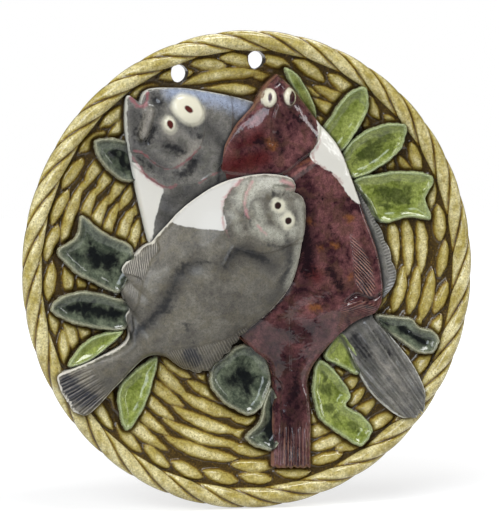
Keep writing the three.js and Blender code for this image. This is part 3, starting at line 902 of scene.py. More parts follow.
@dataclass
class LeafSpray:
    """The leaves behind the fish, thick blades with raised rims and dished middles."""

    form: DishForm
    rise: float = 0.005
    dishing: float = 0.002
    bead: float = 0.0007
    rounding: float = 0.0014
    sink: float = 0.003
    wave: float = 0.014
    swell: float = 0.0003
    pool_reach: float = 0.0012
    steps: int = 132
    rings: int = 20
    leaves: tuple[Leaf, ...] = (
        Leaf("upper_left", (
            (-0.44, 0.4), (-0.5, 0.53), (-0.61, 0.557), (-0.66, 0.54), (-0.635, 0.46), (-0.52, 0.37),
        ), LeafTone.DARK),
        Leaf("left_forked", (
            (-0.48, 0.03), (-0.49, 0.1), (-0.61, 0.165), (-0.712, 0.235), (-0.735, 0.15),
            (-0.815, 0.095), (-0.74, 0), (-0.65, -0.05), (-0.55, -0.09),
        ), LeafTone.DARK),
        Leaf("left", (
            (-0.47, -0.14), (-0.55, -0.11), (-0.7, -0.075), (-0.81, -0.1), (-0.847, -0.14),
            (-0.8, -0.187), (-0.65, -0.235), (-0.52, -0.24),
        ), LeafTone.DARK),
        Leaf("lower_left_slim", (
            (-0.53, -0.25), (-0.63, -0.255), (-0.71, -0.295), (-0.775, -0.385), (-0.7, -0.377),
            (-0.6, -0.315),
        ), LeafTone.LIGHT),
        Leaf("lower_left", (
            (-0.385, -0.36), (-0.405, -0.46), (-0.455, -0.58), (-0.53, -0.66), (-0.56, -0.58),
            (-0.555, -0.48), (-0.47, -0.4),
        ), LeafTone.LIGHT),
        Leaf("bottom_round", (
            (-0.02, -0.315), (0.06, -0.35), (0.104, -0.44), (0.085, -0.54), (0.02, -0.615),
            (-0.08, -0.58), (-0.155, -0.5), (-0.16, -0.42), (-0.09, -0.355),
        ), LeafTone.DARK),
        Leaf("bottom_under_tail", (
            (0.1, -0.5), (0.15, -0.6), (0.14, -0.72), (0.09, -0.765), (-0.02, -0.71), (0.045, -0.64),
            (0.065, -0.56),
        ), LeafTone.DARK),
        Leaf("lower_right", (
            (0.31, -0.385), (0.385, -0.445), (0.442, -0.545), (0.42, -0.58), (0.49, -0.625),
            (0.525, -0.69), (0.47, -0.75), (0.38, -0.7), (0.3, -0.63), (0.277, -0.5),
        ), LeafTone.DEEP),
        Leaf("behind_tail", (
            (0.4, -0.27), (0.46, -0.33), (0.48, -0.455), (0.4, -0.42), (0.33, -0.375),
        ), LeafTone.LIGHT),
        Leaf("right_curled", (
            (0.55, -0.2), (0.62, -0.203), (0.706, -0.216), (0.735, -0.25), (0.79, -0.265),
            (0.815, -0.31), (0.79, -0.358), (0.735, -0.366), (0.64, -0.305), (0.56, -0.25),
        ), LeafTone.DARK),
        Leaf("right_forked", (
            (0.45, 0.37), (0.55, 0.4), (0.68, 0.412), (0.785, 0.385), (0.758, 0.29),
            (0.782, 0.205), (0.7, 0.213), (0.565, 0.193), (0.5, 0.29),
        ), LeafTone.DEEP),
        Leaf("upper_right_low", (
            (0.39, 0.44), (0.44, 0.54), (0.56, 0.608), (0.66, 0.605), (0.65, 0.51), (0.57, 0.43),
            (0.45, 0.38),
        ), LeafTone.DEEP),
        Leaf("upper_right", (
            (0.3, 0.55), (0.345, 0.64), (0.41, 0.735), (0.478, 0.768), (0.505, 0.69), (0.46, 0.575),
            (0.38, 0.48),
        ), LeafTone.LIGHT),
        Leaf("top", (
            (0.26, 0.6), (0.18, 0.75), (0.14, 0.845), (0.19, 0.825), (0.25, 0.745), (0.29, 0.64),
        ), LeafTone.LIGHT),
    )

    def coin(self) -> bpy.types.Mesh:
        """Spin a coin of radius 1 with its top at lift 1 and its foot at lift 0."""
        top = 1 - np.linspace(1, 0, self.rings) ** 1.6
        side = [(1.0, 0.75), (1.0, 0.0)]
        return spun_solid("coin", [(r, 1.0) for r in top] + side + [(0.5, 0.0), (0.0, 0.0)], self.steps)

    def outlines(self) -> list[np.ndarray]:
        """Return the closed outline of every leaf."""
        half = self.form.half
        return [smooth_line(np.array(leaf.outline) * half, 90, closed=True) for leaf in self.leaves]

    def blade(self, leaf: Leaf, turn_start: float, above: list[np.ndarray]) -> bpy.types.Mesh:
        """Press the coin into one leaf's outline and section.

        Args:
            leaf: The leaf.
            turn_start: Where the leaf's own ripples begin.
            above: The outlines of the pieces that lie over it.

        Returns:
            The blade's mesh, in place.
        """
        form = self.form
        mesh = self.coin()
        points = mesh_points(mesh)
        radius = np.hypot(points[:, 0], points[:, 2])
        turn = np.arctan2(points[:, 0], points[:, 2]) / math.tau % 1.0
        edge = smooth_line(np.array(leaf.outline) * form.half, 360, closed=True)
        middle = edge.mean(axis=0)
        wave = np.sin(math.tau * (turn * 9 + turn_start))
        wave += 0.6 * np.sin(math.tau * (turn * 23 - turn_start))
        at = turn * len(edge)
        low = np.floor(at).astype(int) % len(edge)
        part = (at - np.floor(at))[:, None]
        rim = edge[low] * (1 - part) + edge[(low + 1) % len(edge)] * part
        flat = middle + (rim - middle) * radius[:, None]
        gap = np.maximum(depth_in_patch(flat[:, 0], flat[:, 1], edge[::3]), 0.0) / MM
        flat = flat + (rim - middle) * (self.wave * wave * radius**4)[:, None]
        ground = form.ground_at(flat[:, 0], flat[:, 1])
        top = self.rise - self.dishing * smoothstep(0.9, 5.5, gap)
        top += self.bead * np.exp(-(((gap - 1.1) / 0.7) ** 2))
        top -= self.rounding * (1 - smoothstep(0.0, 1.1, gap)) ** 2
        top += self.swell * np.sin(flat[:, 0] * 420 + flat[:, 1] * 160) * np.sin(flat[:, 1] * 380)
        level = -points[:, 1]
        lift = ground - self.sink + level * (top + self.sink)
        move_points(mesh, form.place(flat[:, 0], flat[:, 1], lift))
        paint_field(mesh, "blade", np.where(level > 0.9, gap, -1.0))
        paint_field(mesh, "core", gap / gap.max())
        paint_field(mesh, "tone", np.full(len(points), leaf.tone.value))
        # Painted shade, with the glaze pooled there, beside the fish over the leaf.
        paint_field(mesh, "pool_and_shade", pooled_and_shaded_beside(flat[:, 0], flat[:, 1], above, self.pool_reach))
        return mesh

    def build(self, glaze: bpy.types.Material, above: list[np.ndarray]) -> bpy.types.Object:
        """Join the blades into one piece."""
        bm = bmesh.new()
        for index, leaf in enumerate(self.leaves):
            mesh = self.blade(leaf, index * 0.37, above)
            bm.from_mesh(mesh)
            bpy.data.meshes.remove(mesh)
        bmesh.ops.recalc_face_normals(bm, faces=bm.faces)
        return finished_piece("leaf_spray", mesh_from(bm, "leaf_spray"), glaze)


@dataclass(frozen=True)
class Eye:
    """An eye: its place, the half axes of dome, cream ring and pupil, and where it looks, in shares."""

    at: tuple[float, float]
    dome: tuple[float, float]
    ring: tuple[float, float]
    pupil: tuple[float, float]
    tilt: float
    rise: float
    look: tuple[float, float] = (0.0, 0.0)


@dataclass(frozen=True)
class Stroke:
    """A line drawn on a fish in shares, with its half width in millimetres and its rise."""

    line: Line
    width: float
    rise: float = 0.0


@dataclass(frozen=True)
class Fringe:
    """A fin along one side: the patch it fills, how far it lies under the body, and its rays."""

    side: int
    patch: Line
    drop: float = 0.0008
    pitch: float = 0.0016
    height: float = 0.0001
    lean: float = 0.0
    scallop: float = 0.009
    ragged: float = 0.0005
    drawn: float = 0.6


@dataclass
class Fish:
    """A flatfish: its two sides and ridge from mouth to tail, and what is modelled on it."""

    form: DishForm
    name: str
    back: Line
    belly: Line
    ridge: Line
    white: Line
    covers: tuple[Line, ...]
    pinks: tuple[Stroke, ...]
    shades: tuple[Stroke, ...]
    spots_and_sheens: tuple[Stroke, ...]
    creases: tuple[Stroke, ...]
    eyes: tuple[Eye, ...]
    fringes: tuple[Fringe, ...]
    fan: Line
    tones_and_highlights: tuple[Stroke, ...] = ()
    broad_shades: tuple[Stroke, ...] = ()
    tail_start: float = 0.86
    tail_rays: float = 9.0
    tail_rib: float = 0.0005
    tail_drawn: float = 0.45
    torn: float = 0.0007
    stations: int = 600
    columns: int = 150
    flank_power: float = 2.2
    cover_rise: float = 0.0011
    rounding: float = 0.0013
    sink: float = 0.003
    crown: float = 0.0385
    crown_room: float = 0.0012
    crown_blend: float = 0.0018
    tail_blend: float = 0.06
    swell: float = 0.00018
    pitting: float = 0.00002
    pool_reach: float = 0.0012

    def curves(self) -> list[np.ndarray]:
        """Return back, belly and ridge at the stations, as rows of x, z and lift."""
        shares = np.linspace(0, 1, self.stations + 1)
        return [
            resampled(smooth_line(self.form.relief(line), 1200), shares)
            for line in (self.back, self.belly, self.ridge)
        ]

    def outline(self) -> np.ndarray:
        """Return the fish's outline as one closed ring of x and z."""
        back, belly, _ = self.curves()
        return np.concatenate([back[::6, :2], belly[::-6, :2]])

    def build(self, glaze: bpy.types.Material, above: list[np.ndarray]) -> bpy.types.Object:
        """Wrap a grid round the fish, model its relief and close its mouth and tail.

        Args:
            glaze: The fish's glaze.
            above: The outlines of the fish that lie over it.

        Returns:
            The finished fish.
        """
        bm = bmesh.new()
        under = 5
        columns = self.columns + under
        bmesh.ops.create_grid(bm, x_segments=columns, y_segments=self.stations, size=1.0)
        mesh = mesh_from(bm, self.name)
        grid = mesh_points(mesh)
        column = np.rint((grid[:, 0] + 1) / 2 * columns).astype(int)
        station = np.rint((grid[:, 1] + 1) / 2 * self.stations).astype(int)
        across = np.clip((column - 2) / self.columns * 2 - 1, -1, 1)
        across = np.sign(across) * np.abs(across) ** 0.88
        curves = self.curves()
        back, belly, ridge = (curve[station] for curve in curves)
        edge = np.where((across > 0)[:, None], back, belly)
        reach = np.abs(across)
        flat = ridge[:, :2] + (edge[:, :2] - ridge[:, :2]) * reach[:, None]
        lift = edge[:, 2] + (ridge[:, 2] - edge[:, 2]) * (1 - reach**self.flank_power)
        span = np.linalg.norm(edge[:, :2] - ridge[:, :2], axis=1)
        outward = (edge[:, :2] - ridge[:, :2]) / np.maximum(span, 1e-5)[:, None]
        arcs = [
            np.concatenate([[0.0], np.cumsum(np.linalg.norm(np.diff(curve[:, :2], axis=0), axis=1))])
            for curve in curves
        ]
        arc = np.where(across > 0, arcs[0][station], arcs[1][station])
        along = station / self.stations
        gap = np.minimum((1 - reach) * span, arcs[2][-1] - arcs[2][station]) / MM
        rise, shift = self.fin_relief(mesh, flat, across, along, arc, gap)
        lift = lift + rise + self.body_relief(mesh, flat[:, 0], flat[:, 1], gap, above)
        capped = self.crown + self.crown_room * np.tanh((lift - self.crown) / self.crown_blend)
        lift = np.where(lift > self.crown, capped, lift)
        flat = flat + outward * shift[:, None]
        way = curves[2][-1, :2] - curves[2][-12, :2]
        torn = 0.6 * np.cos(across * math.pi * self.tail_rays * 1.3) + 0.4 * np.cos(across * 11 + 1)
        torn = self.torn * torn * smoothstep(0.975, 1.0, along)
        flat = flat + way / np.linalg.norm(way) * torn[:, None]
        x, z = flat[:, 0], flat[:, 1]
        skirt = (column == 1) | (column == columns - 3)
        root = self.form.ground_at(x, z) - self.sink
        lift = np.where(skirt, 0.6 * lift + 0.4 * root, lift)
        middle, last = column == columns - 1, column == columns
        x, z = np.where(middle, ridge[:, 0], x), np.where(middle, ridge[:, 1], z)
        x, z = np.where(last, x[column == 0][station], x), np.where(last, z[column == 0][station], z)
        foot = (column == 0) | (column >= columns - 2)
        lift = np.where(foot, self.form.ground_at(x, z) - self.sink, lift)
        move_points(mesh, self.form.place(x, z, lift))
        self.close(mesh)
        return finished_piece(self.name, mesh, glaze)

    @staticmethod
    def close(mesh: bpy.types.Mesh) -> None:
        """Weld the seam under the fish and fill its two ends."""
        bm = bmesh.new()
        bm.from_mesh(mesh)
        bmesh.ops.remove_doubles(bm, verts=bm.verts, dist=1e-6)
        rims = [e for e in bm.edges if e.is_boundary]
        bmesh.ops.holes_fill(bm, edges=rims, sides=0)
        bmesh.ops.triangulate(bm, faces=[f for f in bm.faces if len(f.verts) > 4])
        bmesh.ops.recalc_face_normals(bm, faces=bm.faces)
        bm.to_mesh(mesh)
        bm.free()

    def fanned(self, u: np.ndarray, v: np.ndarray) -> np.ndarray:
        """Return the place across the tail's fan, from -1 to 1, for points in shares."""
        root, end = np.array(self.fan[:2]), np.array(self.fan[2:])
        middle = root.mean(axis=0)
        axis = end.mean(axis=0) - middle
        length = np.hypot(*axis)
        along = ((u - middle[0]) * axis[0] + (v - middle[1]) * axis[1]) / length**2
        halves = [0.5 * np.hypot(*(pair[1] - pair[0])) for pair in (root, end)]
        half = np.maximum(halves[0] + (halves[1] - halves[0]) * along, 0.3 * halves[0])
        return ((v - middle[1]) * axis[0] - (u - middle[0]) * axis[1]) / (length * half)

    def fin_relief(self, mesh: bpy.types.Mesh, flat: np.ndarray, across: np.ndarray,
                   along: np.ndarray, arc: np.ndarray, gap: np.ndarray) -> tuple[np.ndarray, np.ndarray]:
        """Lay the fins under the body's edge, fan the tail's ribs and store the lines of the rays.

        Args:
            mesh: The fish's mesh, which takes the fields.
            flat: Rows of x and z from the middle of the dish.
            across: From -1 at the belly edge to 1 at the back edge.
            along: From 0 at the mouth to 1 at the tail.
            arc: Length along the nearer edge from the mouth.
            gap: Distance from that edge, in millimetres.

        Returns:
            What the fins add to the lift, and how far their scallops stand out.
        """
        u, v = flat[:, 0] / self.form.half, flat[:, 1] / self.form.half
        tail = smoothstep(self.tail_start, self.tail_start + self.tail_blend, along)
        tail = tail * smoothstep(0.2, 1.4, gap)
        ray = self.fanned(u, v) * math.pi * self.tail_rays
        rise = self.tail_rib * tail * (0.7 * np.cos(ray) + 0.3 * np.cos(1.9 * ray + 1.0))
        ray = 2.1 * ray + 1.2 * np.sin(0.4 * ray)
        drawn, shift = self.tail_drawn * tail, np.zeros(across.shape)
        for fin in self.fringes:
            patch = smooth_line(np.array(fin.patch), 60, closed=True)
            depth = depth_in_patch(u, v, patch) * self.form.half / MM
            side = across * fin.side > 0
            here = smoothstep(-0.4, 0.5, depth) * side
            turn = math.tau * (arc + fin.lean * gap * MM) / fin.pitch
            turn = turn + 0.9 * np.sin(turn / 5.3)
            rise += here * (fin.height * np.sin(turn) - fin.drop)
            wave = np.abs(np.sin(math.pi * arc / fin.scallop + 0.7 * np.sin(arc / 0.013))) - 0.65
            loose = smoothstep(0.0, 4.0, depth) * (1 - smoothstep(0.0, 3.0, gap)) * side
            shift += loose * fin.ragged * wave
            ray = np.where(here > 0.5, turn, ray)
            drawn = np.where(here > 0.5, fin.drawn * smoothstep(0.0, 1.0, depth), drawn)
        paint_field(mesh, "ray", ray)
        paint_field(mesh, "fin", drawn)
        return rise, shift

    def body_relief(self, mesh: bpy.types.Mesh, x: np.ndarray, z: np.ndarray,
                    gap: np.ndarray, above: list[np.ndarray]) -> np.ndarray:
        """Work out the fine relief and store the fields that the glazes follow.

        Args:
            mesh: The fish's mesh, which takes the fields.
            x: Places from the middle of the dish.
            z: Heights from the middle of the dish.
            gap: Distance from the fish's edge, in millimetres.
            above: The outlines of the fish that lie over it.

        Returns:
            What the relief adds to the lift.
        """
        u, v = x / self.form.half, z / self.form.half
        mm = self.form.half / MM
        rise = np.zeros(x.shape)
        for cover in self.covers:
            outline = smooth_line(np.array(cover), 80, closed=True)
            rise += self.cover_rise * smoothstep(-0.5, 0.5, depth_in_patch(u, v, outline) * mm)
        for crease in self.creases:
            spread = distance_to_line(u, v, smooth_line(np.array(crease.line), 30)) * mm
            rise += crease.rise * np.exp(-((spread / crease.width) ** 2))
        rise += self.eye_domes(mesh, u, v, mm)
        rise -= self.rounding * (1 - smoothstep(0.0, 1.7, gap)) ** 2
        broad = np.sin(x * 310 + 1.3 * np.sin(z * 210)) * np.sin(z * 270 + 1.1 * np.sin(x * 190))
        small = np.sin(x * 1400 + 2.1 * np.sin(z * 900)) * np.sin(z * 1250 + 1.7 * np.sin(x * 800))
        rise += self.swell * broad + self.pitting * small
        outline = smooth_line(np.array(self.white), 120, closed=True)
        paint_field(mesh, "white", depth_in_patch(u, v, outline) * mm)
        drawn = {
            "pink": self.pinks, "shade": self.shades, "spot_and_sheen": self.spots_and_sheens, "tone_and_highlight": self.tones_and_highlights,
            "broad_shade": self.broad_shades,
        }
        for name, strokes in drawn.items():
            paint_field(mesh, name, self.strokes(strokes, u, v, mm))
        # The rim field carries the thin glaze at the edge and the painted highlight along it.
        paint_field(mesh, "rim", 0.6 - gap)
        # Painted shade, with the glaze pooled there, beside the fish over this one.
        paint_field(mesh, "pool_and_shade", pooled_and_shaded_beside(x, z, above, self.pool_reach))
        return rise

    def strokes(self, strokes: tuple[Stroke, ...], u: np.ndarray, v: np.ndarray, mm: float) -> np.ndarray:
        """Return how deep each point lies inside the nearest stroke, in millimetres."""
        depth = np.full(u.shape, -20.0)
        for stroke in strokes:
            line = smooth_line(np.array(stroke.line), 30)
            depth = np.maximum(depth, stroke.width - distance_to_line(u, v, line) * mm)
        return depth

    def eye_domes(self, mesh: bpy.types.Mesh, u: np.ndarray, v: np.ndarray, mm: float) -> np.ndarray:
        """Raise the eyes and store where their cream and their pupils lie."""
        rise = np.zeros(u.shape)
        cream, pupil = np.full(u.shape, -20.0), np.full(u.shape, -20.0)
        for eye in self.eyes:
            tilt = math.radians(eye.tilt)
            du, dv = u - eye.at[0], v - eye.at[1]
            a = du * math.cos(tilt) + dv * math.sin(tilt)
            b = dv * math.cos(tilt) - du * math.sin(tilt)
            dome, ring = (np.hypot(a / axes[0], b / axes[1]) for axes in (eye.dome, eye.ring))
            inner = np.hypot((a - eye.look[0]) / eye.pupil[0], (b - eye.look[1]) / eye.pupil[1])
            rise += eye.rise * np.clip(1 - dome**2, 0, 1) ** 0.6
            rise += 0.2 * eye.rise * (1 - smoothstep(0.7, 1.1, ring))
            rise -= 0.25 * eye.rise * np.exp(-(inner**2))
            cream = np.maximum(cream, (1 - ring) * min(eye.ring) * mm)
            pupil = np.maximum(pupil, (1 - inner) * min(eye.pupil) * mm)
        paint_field(mesh, "eye", cream)
        paint_field(mesh, "pupil", pupil)
        return rise


def grey_fish(form: DishForm) -> Fish:
    """Return the grey flatfish that lies in front."""
    return Fish(
        form, "grey_fish",
        back=(
            (0.176, 0.36, 0.165), (0.177, 0.34, 0.167), (0.172, 0.328, 0.17), (0.19, 0.32, 0.172),
            (0.21, 0.3, 0.175), (0.22, 0.25, 0.178), (0.213, 0.13, 0.175), (0.175, -0.05, 0.155),
            (0.1, -0.16, 0.13), (-0.02, -0.27, 0.09), (-0.1, -0.37, 0.045), (-0.18, -0.432, 0.035),
            (-0.28, -0.41, 0.035), (-0.35, -0.362, 0.045), (-0.43, -0.356, 0.06),
            (-0.56, -0.465, 0.06), (-0.705, -0.582, 0.067),
            (-0.752, -0.563, 0.067),
        ),
        belly=(
            (0.176, 0.36, 0.165), (0.163, 0.383, 0.163), (0.125, 0.397, 0.162), (0.03, 0.404, 0.158),
            (-0.13, 0.366, 0.14), (-0.27, 0.28, 0.115), (-0.359, 0.183, 0.088), (-0.385, 0.153, 0.079),
            (-0.408, 0.122, 0.071), (-0.433, 0.107, 0.056), (-0.462, 0.085, 0.046), (-0.516, 0.038, 0.042),
            (-0.534, 0.008, 0.042), (-0.528, -0.016, 0.042), (-0.52, -0.031, 0.042),
            (-0.534, -0.052, 0.042), (-0.541, -0.073, 0.042), (-0.523, -0.122, 0.042),
            (-0.506, -0.155, 0.042), (-0.517, -0.183, 0.042), (-0.52, -0.215, 0.042),
            (-0.508, -0.255, 0.046), (-0.525, -0.295, 0.055), (-0.64, -0.352, 0.06),
            (-0.75, -0.392, 0.065), (-0.819, -0.42, 0.075), (-0.807, -0.475, 0.072),
        ),
        ridge=(
            (0.12, 0.345, 0.2), (0.06, 0.23, 0.242), (-0.05, 0.13, 0.25), (-0.18, -0.015, 0.225),
            (-0.31, -0.18, 0.158), (-0.43, -0.285, 0.108), (-0.56, -0.365, 0.092),
            (-0.781, -0.52, 0.073),
        ),
        white=(
            (-0.34, 0.212), (-0.3, 0.29), (-0.18, 0.37), (-0.03, 0.43), (-0.06, 0.38), (-0.107, 0.33),
            (-0.135, 0.266), (-0.131, 0.177), (-0.207, 0.181), (-0.302, 0.191),
        ),
        covers=(
            ((-0.04, 0.42), (-0.107, 0.331), (-0.135, 0.273), (-0.133, 0.181), (-0.1, 0.12),
             (0.0, 0.08), (0.12, 0.1), (0.26, 0.2), (0.26, 0.4), (0.12, 0.45)),
            ((0.0, 0.42), (-0.031, 0.332), (-0.046, 0.28), (-0.051, 0.227), (-0.027, 0.155),
             (0.06, 0.11), (0.26, 0.15), (0.26, 0.42), (0.12, 0.46)),
        ),
        pinks=(
            Stroke(((-0.05, 0.385), (-0.107, 0.331), (-0.138, 0.28), (-0.138, 0.2), (-0.115, 0.145)), 0.3),
            Stroke(((-0.01, 0.373), (-0.041, 0.32), (-0.048, 0.267), (-0.038, 0.23)), 0.3),
            Stroke(((0.115, 0.377), (0.14, 0.368), (0.165, 0.352)), 1.3),
            Stroke(((0.13, 0.343), (0.16, 0.338)), 0.2),
            Stroke(((-0.002, 0.198), (0.037, 0.159)), 0.1),
        ),
        shades=(
            Stroke((
                (-0.29, 0.027), (-0.325, -0.027), (-0.353, -0.109), (-0.46, -0.23), (-0.53, -0.28),
            ), 1.5),
            Stroke(((-0.345, -0.09), (-0.37, -0.15)), 2.0),
            Stroke(((-0.303, 0.039), (-0.206, 0.044), (-0.136, 0.029)), -0.4),
            Stroke(((-0.136, 0.029), (-0.09, 0.09), (-0.03, 0.08), (0.04, 0.05)), 1.6),
            Stroke(((0.12, 0.17), (0.15, 0.05), (0.11, -0.06)), 0.2),
            Stroke(((0.05, 0.12), (0.12, 0.1)), -0.2),
            Stroke(((-0.05, 0.25), (-0.03, 0.2)), -0.3),
            Stroke(((0.065, 0.33), (0.08, 0.305)), 0.8), Stroke(((0.1, 0.36), (0.14, 0.356)), -0.9),
            Stroke(((0.16, 0.24), (0.165, 0.2)), 0.0),
            Stroke(((-0.279, -0.223), (-0.237, -0.315)), 0.3),
            Stroke(((-0.5, -0.2), (-0.49, -0.26)), 0.8),
        ),
        # Small near-black navy patches, largest on the lower fin and near the tail.
        spots_and_sheens=(
            Stroke(((-0.262, -0.344), (-0.234, -0.372)), 3.6),
            Stroke(((-0.785, -0.44), (-0.745, -0.49), (-0.68, -0.52)), 4.2),
            Stroke(((-0.02, -0.24), (-0.05, -0.26)), 0.6),
            Stroke(((0.105, 0.245), (0.11, 0.24)), 0.4),
        ),
        # Painted highlight: the head lit paler round the eyes and mouth.
        tones_and_highlights=(
            Stroke(((-0.06, 0.3), (0.0, 0.35), (0.09, 0.375)), 4.0),
            Stroke(((0.14, 0.375), (0.16, 0.35)), 3.0),
            Stroke(((0.0, 0.2), (0.05, 0.17), (0.1, 0.15)), 3.0),
            Stroke(((0.09, 0.26), (0.12, 0.21), (0.15, 0.18)), 4.4),
            Stroke(((0.19, 0.28), (0.2, 0.1), (0.165, -0.05)), 1.6),
            Stroke(((0.0, 0.28), (0.02, 0.2)), 2.6),
            Stroke(((-0.1, 0.25), (-0.08, 0.18)), 0.8),
        ),
        # Painted broad shade along the groove, under the gill cover, by the edges and towards the tail.
        broad_shades=(
            Stroke(((-0.24, 0.03), (-0.31, -0.02), (-0.36, -0.11), (-0.42, -0.2), (-0.5, -0.27)), 3.0),
            Stroke(((-0.13, 0.03), (-0.07, 0.09), (0.0, 0.06), (0.08, 0.02)), 3.4),
            Stroke(((-0.5, -0.12), (-0.49, -0.25)), 2.0),
            Stroke(((0.13, 0.12), (0.16, 0.0), (0.08, -0.13)), 2.4),
            Stroke(((-0.28, -0.38), (-0.15, -0.38), (-0.04, -0.28)), 0.5),
            Stroke(((-0.6, -0.44), (-0.72, -0.5)), 1.5), Stroke(((0.08, 0.31), (0.17, 0.22)), -1.0),
        ),
        creases=(
            Stroke(((-0.01, 0.373), (-0.041, 0.32), (-0.048, 0.267), (-0.033, 0.214)), 1.1, -0.001),
            Stroke(((0.08, 0.352), (0.12, 0.352), (0.17, 0.345)), 0.8, -0.0012),
            Stroke(((0.12, 0.375), (0.145, 0.366), (0.165, 0.352)), 1.6, 0.0014),
            Stroke(((0.1, 0.338), (0.14, 0.333)), 1.2, 0.0009),
            Stroke(((0.052, 0.332), (0.04, 0.318)), 1.8, 0.0009),
            Stroke(((0.04, 0.25), (0.03, 0.2), (0.05, 0.15)), 3.0, 0.0008),
            Stroke(((0.1, 0.25), (0.112, 0.24)), 1.6, 0.0009),
            Stroke(((-0.137, 0.027), (-0.079, 0.12), (-0.04, 0.11)), 1.2, 0.0008),
            Stroke(((-0.237, 0.038), (-0.321, -0.02), (-0.36, -0.123), (-0.46, -0.24)), 5.0, -0.0013),
        ),
        eyes=(
            Eye((0.086, 0.276), (0.036, 0.034), (0.034, 0.028), (0.0135, 0.0155), -20, 0.0016),
            Eye((0.131, 0.213), (0.034, 0.032), (0.03, 0.034), (0.0145, 0.0145), -20, 0.0016),
        ),
        fringes=(
            Fringe(-1, (
                (-0.385, 0.095), (-0.415, 0.053), (-0.439, -0.002), (-0.458, -0.04), (-0.6, -0.03),
                (-0.62, 0.1), (-0.45, 0.2),
            ), 0.0006, 0.0013, 0.00008, -0.9, 0.02, 0.0002, 0.95),
            Fringe(-1, (
                (-0.458, -0.03), (-0.463, -0.068), (-0.475, -0.128), (-0.494, -0.187), (-0.496, -0.25),
                (-0.56, -0.27), (-0.64, -0.02),
            ), 0.0008, 0.0013, 0.00003, -1.2, 0.009, 0.0005, 0.35),
            Fringe(1, (
                (-0.36, -0.34), (-0.25, -0.315), (-0.17, -0.3), (-0.09, -0.28), (-0.02, -0.235),
                (0.03, -0.3), (-0.06, -0.45), (-0.2, -0.52), (-0.36, -0.47),
            ), 0.0003, 0.0015, 0.00005, 0.2, 0.0065, 0.0013, 0.35),
        ),
        fan=((-0.58, -0.47), (-0.62, -0.36), (-0.7, -0.565), (-0.805, -0.43)),
        tail_rays=6.0,
        tail_rib=0.0006,
    )


